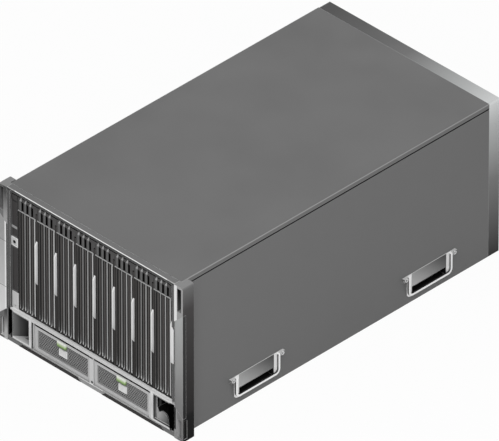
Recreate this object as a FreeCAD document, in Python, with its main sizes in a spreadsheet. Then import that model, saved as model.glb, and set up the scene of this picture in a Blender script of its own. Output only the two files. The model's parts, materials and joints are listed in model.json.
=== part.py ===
import FreeCAD, Part
import math
import os
import Sketcher

os.makedirs("parts", exist_ok=True)
doc = FreeCAD.newDocument("rack_server")
sheet = doc.addObject("Spreadsheet::Sheet", "sizes")

# Driving dimensions in millimetres. Depths are counted back from the front of the rack ears,
# heights up from the floor, and offsets inside a module from its left edge.
TABLE = (
    # whole object
    ("panel_width", 482.6, "over the rack ears, 19 inch panel"),
    ("ear_overhang", 17.8, "ear beyond the side of the chassis"),
    ("tall", 346.0, "overall height, eight rack units less clearance"),
    ("deep", 846.0, "ear front to rear frame"),
    ("lever_setback", 1.5, "lever grips behind the ear fronts"),
    ("sheet", 1.5, "side and cover sheet"),
    ("floor_sheet", 2.0, "base sheet"),
    ("slack", 0.2, "gap between fixed pieces"),
    ("fit", 0.4, "gap between bodies that move apart"),
    ("pin_clear", 0.05, "radial clearance of a pin in its eye"),
    ("past", 1.0, "overshoot of a cut beyond a face"),
    # shell
    ("cover_start", 15.5, "front edge of the top cover"),
    ("cover_gap", 0.6, "gap before the top cover"),
    ("cover_lip", 11.5, "height of the cover's side flange"),
    ("seam_gap", 1.5, "dark line under the cover's flange"),
    ("bend_outer", 2.5, "outer bend of the cover"),
    ("bend_inner", 1.0, "inner bend of the cover"),
    ("pan_lip", 9.0, "height of the base flanges"),
    ("rear_depth", 28.0, "depth of the rear frame"),
    ("rear_wall", 8.0, "wall of the rear frame"),
    ("rear_round", 5.0, "corner of the rear frame"),
    # front frame
    ("frame_setback", 1.5, "front of the frame behind the ears"),
    ("frame_side", 7.0, "frame beside the module opening"),
    ("ear_depth", 29.0, "depth of the ears and the frame"),
    ("bay_low", 78.0, "bottom of the module opening"),
    ("rail_tall", 13.0, "height of the top rail"),
    ("rail_gap", 1.8, "slanted rail face behind the module faces"),
    ("brow_drop", 3.0, "top edge to the upper end of the slanted rail face"),
    ("shelf_tall", 7.0, "shelf under the modules"),
    ("post_wide", 9.0, "middle post"),
    ("post_side", 5.0, "post beside a corner opening"),
    ("corner_wide", 54.6, "width of a corner opening"),
    ("corner_low", 11.0, "bottom of the corner openings"),
    ("corner_gap_depth", 18.0, "depth of the dark gap beside the ears"),
    ("foot_inner", 36.0, "inner end of the bottom recesses"),
    ("foot_outer", 181.0, "outer end of the bottom recesses"),
    ("foot_tall", 7.5, "height of the bottom recesses"),
    ("foot_deep", 2.5, "depth of the bottom recesses"),
    ("foot_slope", 9.0, "run of the slanted recess ends"),
    # ears
    ("ear_width", 22.8, "width of an ear's front"),
    ("ear_round", 6.0, "top outer edge"),
    ("ear_wall", 4.3, "outer wall of the screw channels"),
    ("channel_wide", 10.0, "screw channel width"),
    ("channel_edge", 5.0, "ear above and below the channels"),
    ("upper_channel", 52.0, "length of the upper channel"),
    ("lower_channel", 41.0, "length of the lower channel"),
    ("flange_thick", 17.0, "flange under a rack screw"),
    ("rack_hole_inset", 8.75, "rack hole from the panel's edge"),
    ("rack_hole_r", 2.75, "clearance hole for a 5 mm screw"),
    ("rack_hole_low", 35.0, "lower rack hole"),
    ("rack_hole_drop", 31.6, "top edge to the upper rack hole"),
    ("side_recess_front", 2.0, "recess on the ear's outer side"),
    ("side_recess_back", 11.0, "recess on the ear's outer side"),
    ("side_recess_deep", 1.5, "recess on the ear's outer side"),
    ("grip_deep", 8.0, "depth of the grip cover"),
    ("grip_gap", 5.5, "channel to the grip cover"),
    ("grip_slant", 21.0, "rise of the grip's slanted ends"),
    ("grip_round", 3.5, "rounded inner edge of the grip"),
    # operator strip
    ("strip_wide", 16.8, "operator strip width"),
    ("strip_setback", 5.0, "front of the strip"),
    ("strip_back", 20.0, "back of the strip"),
    ("strip_low", 115.3, "lower end of the strip"),
    ("window_edge", 1.9, "margin beside the windows"),
    ("window_deep", 1.2, "window recess"),
    ("window_thick", 1.0, "window thickness"),
    ("window_head", 10.4, "strip over the upper window"),
    ("window_a_tall", 58.0, "upper window"),
    ("window_gap", 6.5, "upper to middle window"),
    ("window_b_tall", 16.5, "middle window"),
    ("button_drop", 13.0, "middle window to the middle of the button"),
    ("window_c_drop", 13.5, "middle of the button to the lower window"),
    ("window_c_foot", 3.2, "strip under the lower window"),
    ("button_wide", 11.2, "power button width"),
    ("button_tall", 14.2, "power button height"),
    ("button_proud", 0.8, "button before the strip"),
    ("button_deep", 7.6, "button depth"),
    ("button_round", 1.2, "button edge"),
    ("foot_block_round", 2.0, "panel foot edge"),
    ("foot_notch_half", 3.0, "half width of the foot notch"),
    ("foot_notch_rise", 3.6, "foot notch over the foot's lower end"),
    ("foot_notch_tall", 3.0, "foot notch height"),
    # corner pockets
    ("rim_front", 0.3, "front of the pocket rim"),
    ("pocket_side", 6.0, "inner side wall of a pocket"),
    ("pocket_edge", 5.2, "outer side wall of a pocket"),
    ("pocket_floor", 3.5, "floor of a pocket"),
    ("pocket_roof", 2.0, "roof of a pocket"),
    ("rim_rise", 2.0, "rim's mouth over the shelf's underside"),
    ("pocket_deep", 52.0, "pocket back"),
    ("pocket_back", 2.0, "pocket back wall"),
    ("scoop_front", 12.0, "front of the scoop"),
    ("scoop_tall", 20.0, "height of the scoop"),
    ("scoop_wide", 36.0, "width of the scoop"),
    ("scoop_radius", 34.0, "curve of the scoop"),
    # modules
    ("module_gap", 0.6, "gap round a module's bezel"),
    ("row_gap", 0.8, "gap after the last module"),
    ("face_setback", 5.7, "module face behind the ears"),
    ("bezel_thick", 8.3, "bezel thickness"),
    ("fin_pitch", 12.65, "spacing of the fins"),
    ("fin_edge", 0.9, "last fin to the lever notch"),
    ("fin_wide", 2.6, "fin width"),
    ("fin_proud", 1.3, "fin height over the face"),
    ("fin_foot", 3.4, "bezel under the fins"),
    ("fin_run", 10.0, "length of the curved lower end"),
    ("fin_curve", 39.2, "curve of the lower end"),
    ("fin_head", 2.0, "fin to the air slots"),
    ("fin_end", 1.5, "slope at the fin's upper end"),
    ("louvre_wide", 5.2, "louvre rib beside an air slot"),
    ("louvre_rise", 2.2, "louvre rib over the bezel at the face"),
    ("louvre_point", 1.7, "louvre rib's front over its shoulder"),
    ("louvre_lean", 8.5, "fall of the louvre rib's upper end"),
    ("groove_wide", 2.4, "groove beside a fin"),
    ("groove_deep", 2.6, "groove depth"),
    ("groove_foot", 2.0, "fin's lower end to the groove"),
    ("groove_run", 11.0, "sloped run-out"),
    ("groove_head", 5.5, "groove to the air slots"),
    ("slot_before", 7.3, "air slot before a fin"),
    ("slot_wide", 4.0, "air slot width"),
    ("slot_tall", 20.0, "air slot height"),
    ("slot_head", 6.9, "bezel over the air slots"),
    ("notch_wide", 4.0, "lever notch width"),
    ("notch_tall", 160.0, "lever notch height"),
    ("notch_head", 14.8, "bezel over the lever notch"),
    ("lever_foot_gap", 0.6, "notch under the lever"),
    ("lever_head_gap", 3.0, "notch over the lever"),
    ("lever_sunk", 0.5, "lever's arm behind the module face"),
    ("lever_deep", 6.0, "depth of the lever's arm"),
    ("grip_foot", 7.0, "lever's lower end to the front of its grip"),
    ("grip_tall", 82.0, "front of the lever's grip"),
    ("grip_shoulder", 9.3, "upper slope of the lever's grip"),
    ("pivot_in", 3.2, "lever pivot behind the arm's front"),
    ("pivot_drop", 3.4, "lever pivot under the arm's end"),
    ("pivot_r", 1.5, "lever pin"),
    ("tray_left", 1.5, "tray side plate from the bezel's left edge"),
    ("tray_right", 4.5, "tray from the bezel's right edge"),
    ("tray_inset", 1.4, "tray inside the bezel's upper and lower edges"),
    ("tray_sheet", 1.2, "tray sheet"),
    ("tray_deep", 468.0, "tray length"),
    ("board_thick", 1.6, "circuit board"),
    ("board_edge", 4.0, "board edge inside the tray"),
    ("board_setback", 16.0, "front of the board behind the bezel"),
    ("sink_start", 150.0, "front of the heat sinks"),
    ("sink_long", 92.0, "heat sink length"),
    ("sink_tall", 76.0, "heat sink height"),
    ("sink_margin", 12.0, "heat sink from the tray's edge"),
    ("sink_reach", 30.0, "heat sink fins"),
    ("sink_base", 5.0, "heat sink base"),
    ("sink_fin", 4.0, "heat sink fin"),
    ("memory_start", 130.0, "front of the memory cards"),
    ("memory_long", 133.0, "memory card length"),
    ("memory_reach", 31.0, "memory card height"),
    ("memory_thick", 3.0, "memory card thickness"),
    ("memory_pitch", 12.0, "memory card spacing"),
    ("plug_reach", 12.0, "rear connector"),
    ("plug_margin", 40.0, "rear connector from the tray's edges"),
    ("plug_long", 22.0, "rear connector length"),
    # guides and midplane
    ("deck_thick", 2.0, "module decks"),
    ("deck_inset", 5.5, "decks from the chassis side"),
    ("rib_before", 2.8, "guide rib before a module edge"),
    ("rib_wide", 3.4, "guide rib width"),
    ("rib_tall", 4.4, "guide rib height"),
    ("midplane_thick", 3.0, "midplane board"),
    ("midplane_inset", 4.5, "midplane from the chassis side"),
    ("vent_gap", 1.7, "connector to the midplane air opening"),
    ("vent_margin", 16.0, "midplane air openings from the tray's edges"),
    ("mate_thick", 3.4, "midplane connector"),
    # power supplies
    ("psu_head", 7.0, "room over the supplies"),
    ("psu_setback", 4.7, "front of the supplies"),
    ("psu_tail", 41.3, "supply's end to the midplane"),
    ("psu_side", 7.2, "rim beside the grille"),
    ("psu_edge", 6.2, "rim above and below the grille"),
    ("psu_back", 3.0, "rear wall of a supply"),
    ("grille_sunk", 1.6, "grille behind the supply's front"),
    ("grille_thick", 2.0, "grille plate"),
    ("grille_seat", 0.1, "grille inside its rim"),
    ("cell_radius", 6.8, "hexagonal cell, corner radius"),
    ("cell_pitch", 14.6, "cells along a row"),
    ("cell_rise", 12.6, "rows of cells"),
    ("tab_half", 11.6, "half width of the pull tab"),
    ("tab_low", 22.0, "pull tab over the supply's foot"),
    ("tab_tall", 15.5, "pull tab height"),
    ("tab_proud", 3.5, "pull tab before the supply's front"),
    ("tab_round", 1.5, "edge of the pull tab"),
    ("latch_half", 11.4, "half width of the latch"),
    ("latch_travel", 3.0, "way of the latch down to the pull tab"),
    ("latch_stop", 0.8, "gap to the pull tab at the end of that way"),
    ("latch_tall", 12.0, "latch height"),
    ("latch_gap", 0.5, "latch before the supply's front"),
    ("latch_thick", 4.0, "latch plate"),
    ("latch_round", 1.6, "edge of the latch"),
    ("stem_half", 3.0, "half width of the latch stem"),
    ("stem_rise", 0.6, "stem over the latch's lower edge"),
    ("stem_tall", 4.0, "stem height"),
    ("stem_long", 8.8, "stem behind the latch plate"),
    ("runner_inset", 6.0, "runner inside the supply's side"),
    ("runner_wide", 14.0, "supply runner"),
    ("runner_top", 9.6, "top of the runners"),
    ("runner_gap", 16.0, "runners' end to the midplane"),
    # lifting handles
    ("handle_first", 207.0, "middle of the front handle"),
    ("handle_rear", 186.5, "middle of the rear handle from the back"),
    ("plate_thick", 1.5, "handle plate"),
    ("plate_edge", 2.5, "handle plate under the finger cup"),
    ("plate_rim", 1.0, "handle plate beside the bail"),
    ("plate_top", 64.0, "handle plate, upper edge"),
    ("cup_inset", 8.0, "finger cup inside the bail's arms"),
    ("cup_low", 16.5, "finger cup, lower side"),
    ("cup_top", 34.5, "finger cup, upper side"),
    ("cup_wall", 1.2, "finger cup wall"),
    ("cup_deep", 15.0, "finger cup depth"),
    ("bail_half", 57.5, "half length of the bail"),
    ("bail_bar", 4.5, "width of the bail"),
    ("bail_thick", 4.0, "thickness of the bail"),
    ("bail_low", 18.0, "lower side of the bail"),
    ("bail_gap", 0.7, "bail before the handle plate"),
    ("bail_head", 1.6, "bail over its axis"),
    ("bail_round", 11.0, "outer corner of the bail"),
    ("axis_drop", 4.0, "bail axis under the plate's upper edge"),
    ("lug_gap", 0.4, "between bail and lug"),
    ("lug_wide", 11.6, "lug width"),
    ("trunnion_r", 1.4, "bail pin"),
    ("trunnion_long", 6.0, "pin length"),
    # fans
    ("fan_side", 120.0, "fan frame"),
    ("fan_deep", 38.0, "fan frame depth"),
    ("fan_rim", 2.5, "fan frame outside its bore"),
    ("fan_gap", 20.0, "between two fans"),
    ("fan_drop", 84.0, "top edge to the fan axes"),
    ("motor_r", 20.0, "motor boss"),
    ("motor_long", 7.0, "motor boss length"),
    ("strut_half", 3.0, "half width of a strut"),
    ("strut_thick", 4.0, "strut thickness"),
    ("spindle_r", 2.0, "fan spindle"),
    ("spindle_start", 8.0, "front of the spindle"),
    ("hub_r", 22.0, "rotor hub"),
    ("hub_start", 5.0, "front of the hub"),
    ("hub_gap", 0.6, "hub to the motor boss"),
    ("vane_sink", 2.0, "vane inside the hub"),
    ("vane_gap", 4.5, "vane to the bore"),
    ("vane_half", 11.0, "half chord of a vane"),
    ("vane_front", 8.0, "leading edge"),
    ("vane_rear", 26.0, "trailing edge"),
    ("vane_thick", 2.6, "vane thickness"),
    # rear wall
    ("panel_inset", 12.0, "inner face of the rear panel from the back"),
    ("panel_thick", 2.0, "rear panel"),
    ("guard_inset", 2.0, "guard slots inside the fan bore"),
    ("guard_end", 7.8, "bore edge to the last guard slot"),
    ("guard_wide", 8.0, "guard slot width"),
    ("cover_margin", 10.5, "expansion covers from the frame's wall"),
    ("cover_pitch", 20.6, "spacing of the expansion covers"),
    ("cover_split", 0.8, "gap between expansion covers"),
    ("cover_low", 30.0, "expansion covers, lower end"),
    ("cover_head", 52.0, "fans to the expansion covers"),
    ("cover_rim", 5.0, "cover over its opening"),
    ("port_gap", 24.2, "expansion covers to the port block"),
    ("port_wide", 104.0, "port block width"),
    ("port_low", 36.0, "port block, lower side"),
    ("port_tall", 24.0, "port block height"),
    ("port_deep", 24.0, "port block depth"),
    ("jack_wide", 13.0, "network socket width"),
    ("jack_tall", 11.0, "network socket height"),
    ("jack_first", 8.0, "first network socket"),
    ("jack_pitch", 18.0, "spacing of the sockets"),
    ("jack_deep", 14.0, "network socket depth"),
    ("bus_first", 48.0, "first serial bus socket"),
    ("bus_wide", 13.2, "serial bus socket width"),
    ("bus_tall", 5.6, "serial bus socket height"),
    ("bus_rise", 9.0, "spacing of the bus sockets"),
    ("bus_deep", 10.0, "serial bus socket depth"),
    ("bus_tongue", 1.9, "gap round the tongue in a bus socket"),
    ("screen_first", 68.0, "screen socket"),
    ("screen_wide", 30.0, "screen socket width"),
    ("screen_tall", 12.0, "screen socket height"),
    ("screen_lean", 2.5, "slant of the screen socket's ends"),
    ("screen_proud", 4.0, "screen socket before the block"),
    ("inlet_margin", 25.5, "last inlet's middle from the frame's wall"),
    ("inlet_pitch", 52.0, "spacing of the inlets"),
    ("inlet_mid", 48.0, "height of the inlets"),
    ("inlet_wide", 32.0, "inlet body width"),
    ("inlet_high", 28.0, "inlet body height"),
    ("inlet_deep", 30.0, "inlet body depth"),
    ("inlet_proud", 2.5, "inlet flange"),
    ("well_wide", 24.6, "inlet well width"),
    ("well_high", 17.0, "inlet well height"),
    ("well_deep", 17.5, "inlet well depth"),
    ("pin_long", 11.0, "inlet pin length"),
    ("pin_wide", 2.0, "inlet pin width"),
    ("pin_high", 4.0, "inlet pin height"),
    ("pin_out", 7.0, "outer pins from the middle"),
    ("pin_drop", 2.0, "outer pins below the middle"),
)
MODULES = 8
FINS = 3
SUPPLIES = 2
FANS = 3
VANES = 5
GUARD_PAIRS = 4
CELL_COLUMNS = 8
CELL_ROWS = 3
EXPANSION_COVERS = 8
MEMORY_CARDS = 4
SINK_FINS = 3
SOCKET_PAIR = 2
HEX_CORNERS = 6
FULL_TURN = 360


class Size:
    """A length that carries both its number and the cell expression it comes from."""

    def __init__(self, text, value):
        self.text = text
        self.value = value

    def joined(self, sign, other, value):
        return Size("(%s %s %s)" % (self.text, sign, other.text), value)

    def __add__(self, other):
        other = as_size(other)
        return self.joined("+", other, self.value + other.value)

    def __radd__(self, other):
        return as_size(other) + self

    def __sub__(self, other):
        other = as_size(other)
        return self.joined("-", other, self.value - other.value)

    def __rsub__(self, other):
        return as_size(other) - self

    def __mul__(self, other):
        other = as_size(other)
        return self.joined("*", other, self.value * other.value)

    def __rmul__(self, other):
        return as_size(other) * self

    def __truediv__(self, other):
        other = as_size(other)
        return self.joined("/", other, self.value / other.value)

    def __neg__(self):
        return 0 - self


def as_size(item):
    return item if isinstance(item, Size) else Size("(%.9f)" % item, float(item))


def square_root(size):
    return Size("sqrt(%s)" % size.text, math.sqrt(size.value))


class Cells:
    """The sheet's cells by name."""


S = Cells()
for row, (alias, number, note) in enumerate(TABLE, 1):
    sheet.set("A%d" % row, alias)
    sheet.set("B%d" % row, str(number))
    sheet.set("C%d" % row, note)
    sheet.setAlias("B%d" % row, alias)
    setattr(S, alias, Size("sizes." + alias, number))
doc.recompute()

ZERO = as_size(0)
FRONT = -S.deep / 2
OUTER = S.panel_width / 2
HALF = OUTER - S.ear_overhang
nodes = []

# Places and sizes that follow from the driving ones.
# front frame
frame_half = OUTER - S.ear_width - S.slack
bay_half = frame_half - S.frame_side
bay_top = S.tall - S.rail_tall
shelf_low = S.bay_low - S.shelf_tall
corner_outer = bay_half - S.slack / 2
corner_inner = corner_outer - S.corner_wide
# module row
module_pitch = (bay_half * 2 - S.slack - S.strip_wide - S.row_gap) / MODULES
module_wide = module_pitch - S.module_gap
module_left = S.slack + S.strip_wide + S.module_gap - bay_half
module_low = S.bay_low + S.module_gap
module_top = bay_top - S.module_gap
slot_top = module_top - S.slot_head
slot_low = slot_top - S.slot_tall
notch_start = module_wide - S.notch_wide
notch_top = module_top - S.notch_head
notch_low = notch_top - S.notch_tall
lever_front = S.face_setback + S.lever_sunk
lever_top = notch_top - S.lever_head_gap
pivot_deep = lever_front + S.pivot_in
pivot_tall = lever_top - S.pivot_drop
# module trays and the midplane that they plug into
bezel_back = S.face_setback + S.bezel_thick
tray_low = module_low + S.tray_inset
tray_top = module_top - S.tray_inset
tray_end = bezel_back + S.tray_deep
board_face = S.tray_left + S.tray_sheet + S.board_thick
plug_low = tray_low + S.plug_margin
plug_top = tray_top - S.plug_margin
midplane_front = tray_end + S.module_gap + S.mate_thick
# power supplies
psu_inner = S.post_wide / 2
psu_outer = corner_inner - S.post_side
psu_left = S.fit - psu_outer
psu_wide = psu_outer - psu_inner - S.fit * 2
psu_pitch = psu_outer + psu_inner
psu_low = S.runner_top + S.fit
psu_tall = shelf_low - psu_low - S.psu_head
# lifting handles
handle_second = S.deep - S.handle_rear
# fans and rear wall
fan_bore = S.fan_side / 2 - S.fan_rim
fan_pitch = S.fan_side + S.fan_gap
fan_first = -fan_pitch * (FANS - 1) / 2
fan_mid = S.tall - S.fan_drop
rear_face = S.deep - S.panel_inset + S.panel_thick
covers_left = S.rear_wall + S.cover_margin - HALF
covers_right = covers_left + S.cover_pitch * EXPANSION_COVERS
inlet_first = HALF - S.rear_wall - S.inlet_margin - S.inlet_pitch * (SUPPLIES - 1)


def back(depth):
    """The y of a depth counted from the ear fronts."""
    return FRONT + depth


def bind(item, target, size):
    item.setExpression(target, as_size(size).text)


def new_body(name):
    return doc.addObject("PartDesign::Body", name)


def origin_part(owner, role):
    return next(part for part in owner.Origin.OriginFeatures if part.Role == role)


def sketch_on(owner, plane, start):
    """A sketch on one of the body's origin planes, moved along that plane's axis to start."""
    drawing = owner.newObject("Sketcher::SketchObject", owner.Name + "_sketch")
    drawing.AttachmentSupport = [(origin_part(owner, plane + "_Plane"), "")]
    drawing.MapMode = "FlatFace"
    bind(drawing, "AttachmentOffset.Base.z", -start if plane == "XZ" else start)
    return drawing


def arc_between(first, second, radius):
    """The short arc from first to second, its centre on the left for a positive radius."""
    along = second - first
    half = along.Length / 2
    across = FreeCAD.Vector(-along.y, along.x, 0)
    across.normalize()
    offset = math.sqrt(radius * radius - half * half)
    centre = (first + second) / 2 + across * math.copysign(offset, radius)
    circle = Part.Circle(centre, FreeCAD.Vector(0, 0, 1), abs(radius))
    start, end = (first, second) if radius > 0 else (second, first)
    return Part.ArcOfCircle(circle, circle.parameter(start), circle.parameter(end))


def draw_loop(drawing, points):
    """A closed outline; a point with a third value starts an arc of that radius."""
    count = len(points)
    spots = [FreeCAD.Vector(as_size(p[0]).value, as_size(p[1]).value, 0) for p in points]
    pieces = []
    bound = []
    for index, point in enumerate(points):
        first = spots[index]
        second = spots[(index + 1) % count]
        if len(point) > 2:
            radius = as_size(point[2])
            shape = arc_between(first, second, radius.value)
            ends = (1, 2) if radius.value > 0 else (2, 1)
        else:
            radius = None
            shape = Part.LineSegment(first, second)
            ends = (1, 2)
        number = drawing.addGeometry(shape, False)
        pieces.append((number, ends, radius))
    rules = []
    for index, (number, ends, radius) in enumerate(pieces):
        following, following_ends, _ = pieces[(index + 1) % count]
        rules.append((Sketcher.Constraint("Coincident", number, ends[1], following, following_ends[0]), None))
        across = as_size(points[index][0])
        upward = as_size(points[index][1])
        rules.append((Sketcher.Constraint("DistanceX", -1, 1, number, ends[0], across.value), across))
        rules.append((Sketcher.Constraint("DistanceY", -1, 1, number, ends[0], upward.value), upward))
        if radius is not None:
            size = radius if radius.value > 0 else -radius
            rules.append((Sketcher.Constraint("Radius", number, size.value), size))
    for rule, size in rules:
        place = drawing.addConstraint(rule)
        if size is not None:
            bound.append((place, size))
    for place, size in bound:
        name = "rule%d" % place
        drawing.renameConstraint(place, name)
        bind(drawing, "Constraints." + name, size)


def draw_circle(drawing, across, upward, radius):
    across = as_size(across)
    upward = as_size(upward)
    spot = FreeCAD.Vector(across.value, upward.value, 0)
    number = drawing.addGeometry(Part.Circle(spot, FreeCAD.Vector(0, 0, 1), radius.value), False)
    rules = (
        (Sketcher.Constraint("DistanceX", -1, 1, number, 3, across.value), across),
        (Sketcher.Constraint("DistanceY", -1, 1, number, 3, upward.value), upward),
        (Sketcher.Constraint("Radius", number, radius.value), radius),
    )
    for rule, size in rules:
        place = drawing.addConstraint(rule)
        name = "rule%d" % place
        drawing.renameConstraint(place, name)
        bind(drawing, "Constraints." + name, size)


def run(owner, kind, plane, start, end, loops=(), circles=()):
    """A pad or pocket that runs along the plane's positive axis from start to end."""
    start = as_size(start)
    drawing = sketch_on(owner, plane, start)
    for points in loops:
        draw_loop(drawing, points)
    for across, upward, radius in circles:
        draw_circle(drawing, across, upward, radius)
    feature = owner.newObject("PartDesign::" + kind, owner.Name + "_" + kind.lower())
    feature.Profile = drawing
    bind(feature, "Length", end - start)
    feature.Reversed = (plane == "XZ") != (kind == "Pocket")
    owner.Tip = feature
    return feature


def pad(owner, plane, start, end, loops=(), circles=()):
    return run(owner, "Pad", plane, start, end, loops, circles)


def cut(owner, plane, start, end, loops=(), circles=()):
    return run(owner, "Pocket", plane, start, end, loops, circles)


def rectangle(left, low, right, top):
    return ((left, low), (right, low), (right, top), (left, top))


def side_rectangle(sign, inner, low, outer, top):
    """A rectangle on the right of the middle plane, or on its left for a negative sign."""
    if sign > 0:
        return rectangle(inner, low, outer, top)
    return rectangle(-outer, low, -inner, top)


def row_of(owner, feature, axis, pitch, count):
    """The feature repeated along one of the body's axes."""
    pattern = owner.newObject("PartDesign::LinearPattern", owner.Name + "_row")
    pattern.Originals = [feature]
    pattern.Direction = (origin_part(owner, axis + "_Axis"), [""])
    bind(pattern, "Length", pitch * (count - 1))
    pattern.Occurrences = count
    owner.Tip = pattern
    return pattern


def ring_of(owner, feature, axis, count):
    """The feature repeated round one of the body's axes."""
    pattern = owner.newObject("PartDesign::PolarPattern", owner.Name + "_ring")
    pattern.Originals = [feature]
    pattern.Axis = (origin_part(owner, axis + "_Axis"), [""])
    pattern.Angle = FULL_TURN
    pattern.Occurrences = count
    owner.Tip = pattern
    return pattern


def round_edges(owner, radius, wanted):
    """A fillet on the edges whose middle and direction satisfy the wanted test."""
    doc.recompute()
    tip = owner.Tip
    names = []
    for number, edge in enumerate(tip.Shape.Edges, 1):
        if edge.Curve.TypeId != "Part::GeomLine":
            continue
        along = edge.Vertexes[-1].Point - edge.Vertexes[0].Point
        along.normalize()
        if wanted(edge.CenterOfMass, along):
            names.append("Edge%d" % number)
    fillet = owner.newObject("PartDesign::Fillet", owner.Name + "_round")
    fillet.Base = (tip, names)
    bind(fillet, "Radius", radius)
    owner.Tip = fillet
    return fillet


def near(value, size):
    """True where a measured length equals a size."""
    tolerance = S.slack.value / 4
    return abs(value - as_size(size).value) < tolerance


def runs(along, axis):
    return abs(getattr(along, axis)) > math.cos(math.pi / 18)


def mirrored(source):
    """The piece on the other side of the middle plane."""
    other = doc.addObject("Part::Mirroring", source.Name + "_mirrored")
    other.Source = source
    other.Normal = FreeCAD.Vector(1, 0, 0)
    return other


def moved_copy(source, across=None, along=None):
    """The same piece set further along the row."""
    copy = doc.addObject("Part::Compound", source.Name + "_copy")
    copy.Links = [source]
    if across is not None:
        bind(copy, "Placement.Base.x", across)
    if along is not None:
        bind(copy, "Placement.Base.y", along)
    return copy


def group(name, pieces):
    joined = doc.addObject("Part::Compound", name + "_group")
    joined.Links = pieces
    return joined


def finish(piece, node):
    piece.Label = node
    nodes.append(piece)


def build_base_pan():
    pan = new_body("pan")
    half = HALF - S.sheet - S.slack
    inner = half - S.floor_sheet
    outline = (
        (-half, ZERO), (half, ZERO), (half, S.pan_lip), (inner, S.pan_lip),
        (inner, S.floor_sheet), (-inner, S.floor_sheet), (-inner, S.pan_lip), (-half, S.pan_lip),
    )
    pad(pan, "XZ", back(S.ear_depth), back(S.deep - S.rear_depth), [outline])
    finish(pan, "base_pan")


def cup_half():
    """Half length of the finger cup between the arms of a bail."""
    return S.bail_half - S.bail_bar - S.cup_inset


def build_side_panels():
    side = new_body("side")
    seam = S.tall - S.cover_lip - S.seam_gap
    step = HALF - S.sheet - S.slack
    under_cover = S.tall - S.sheet - S.bend_inner
    outline = (
        (HALF, ZERO), (HALF, seam), (step, seam), (step, under_cover),
        (step - S.sheet, under_cover), (step - S.sheet, seam - S.sheet),
        (HALF - S.sheet, seam - S.sheet), (HALF - S.sheet, ZERO),
    )
    pad(side, "XZ", back(S.cover_start), back(S.deep - S.rear_depth), [outline])
    openings = []
    margin = S.cup_wall + S.slack
    for middle in (S.handle_first, handle_second):
        reach = cup_half() + margin
        openings.append(rectangle(back(middle - reach), S.cup_low - margin,
                                  back(middle + reach), S.cup_top + margin))
    cut(side, "YZ", HALF - S.sheet - S.past, HALF + S.past, openings)
    finish(side, "right_side_panel")
    finish(mirrored(side), "left_side_panel")


def build_top_cover():
    cover = new_body("cover")
    low = S.tall - S.cover_lip
    inner = HALF - S.sheet
    outline = (
        (-HALF, low), (-inner, low), (-inner, S.tall - S.sheet), (inner, S.tall - S.sheet),
        (inner, low), (HALF, low), (HALF, S.tall), (-HALF, S.tall),
    )
    pad(cover, "XZ", back(S.cover_start), back(S.deep - S.rear_depth), [outline])
    round_edges(cover, S.bend_outer,
                lambda spot, along: runs(along, "y") and near(spot.z, S.tall))
    round_edges(cover, S.bend_inner,
                lambda spot, along: runs(along, "y") and near(spot.z, S.tall - S.sheet))
    finish(cover, "top_cover")


def build_front_frame():
    frame = new_body("frame")
    face = back(S.frame_setback)
    openings = [rectangle(-bay_half, S.bay_low, bay_half, bay_top)]
    side_gaps = []
    feet = []
    for sign in (-1, 1):
        openings.append(side_rectangle(sign, psu_inner, psu_low - S.fit, psu_outer, shelf_low))
        openings.append(side_rectangle(sign, corner_inner, S.corner_low, corner_outer, shelf_low))
        side_gaps.append(side_rectangle(sign, corner_outer - S.past, S.corner_low,
                                        frame_half + S.past, shelf_low))
        inner = S.foot_inner * sign
        outer = S.foot_outer * sign
        lean = S.foot_slope * sign
        feet.append((
            (inner - lean, -S.past), (outer + lean, -S.past), (outer, S.foot_tall), (inner, S.foot_tall),
        ))
    outline = rectangle(-frame_half, ZERO, frame_half, S.tall)
    pad(frame, "XZ", face, back(S.ear_depth), [outline] + openings)
    cut(frame, "XZ", back(S.cover_start - S.cover_gap), back(S.ear_depth + S.past),
        [rectangle(-frame_half - S.past, S.tall - S.sheet, frame_half + S.past, S.tall + S.past)])
    slant = back(S.face_setback + S.rail_gap)
    brow_top = S.tall - S.brow_drop
    brow = (
        (face - S.past, bay_top - S.past), (slant, bay_top - S.past), (slant, bay_top),
        (face, brow_top), (face - S.past, brow_top),
    )
    cut(frame, "YZ", -bay_half, bay_half, [brow])
    cut(frame, "XZ", face - S.past, back(S.corner_gap_depth), side_gaps)
    cut(frame, "XZ", face - S.past, back(S.foot_deep), feet)
    finish(frame, "front_frame")


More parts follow.
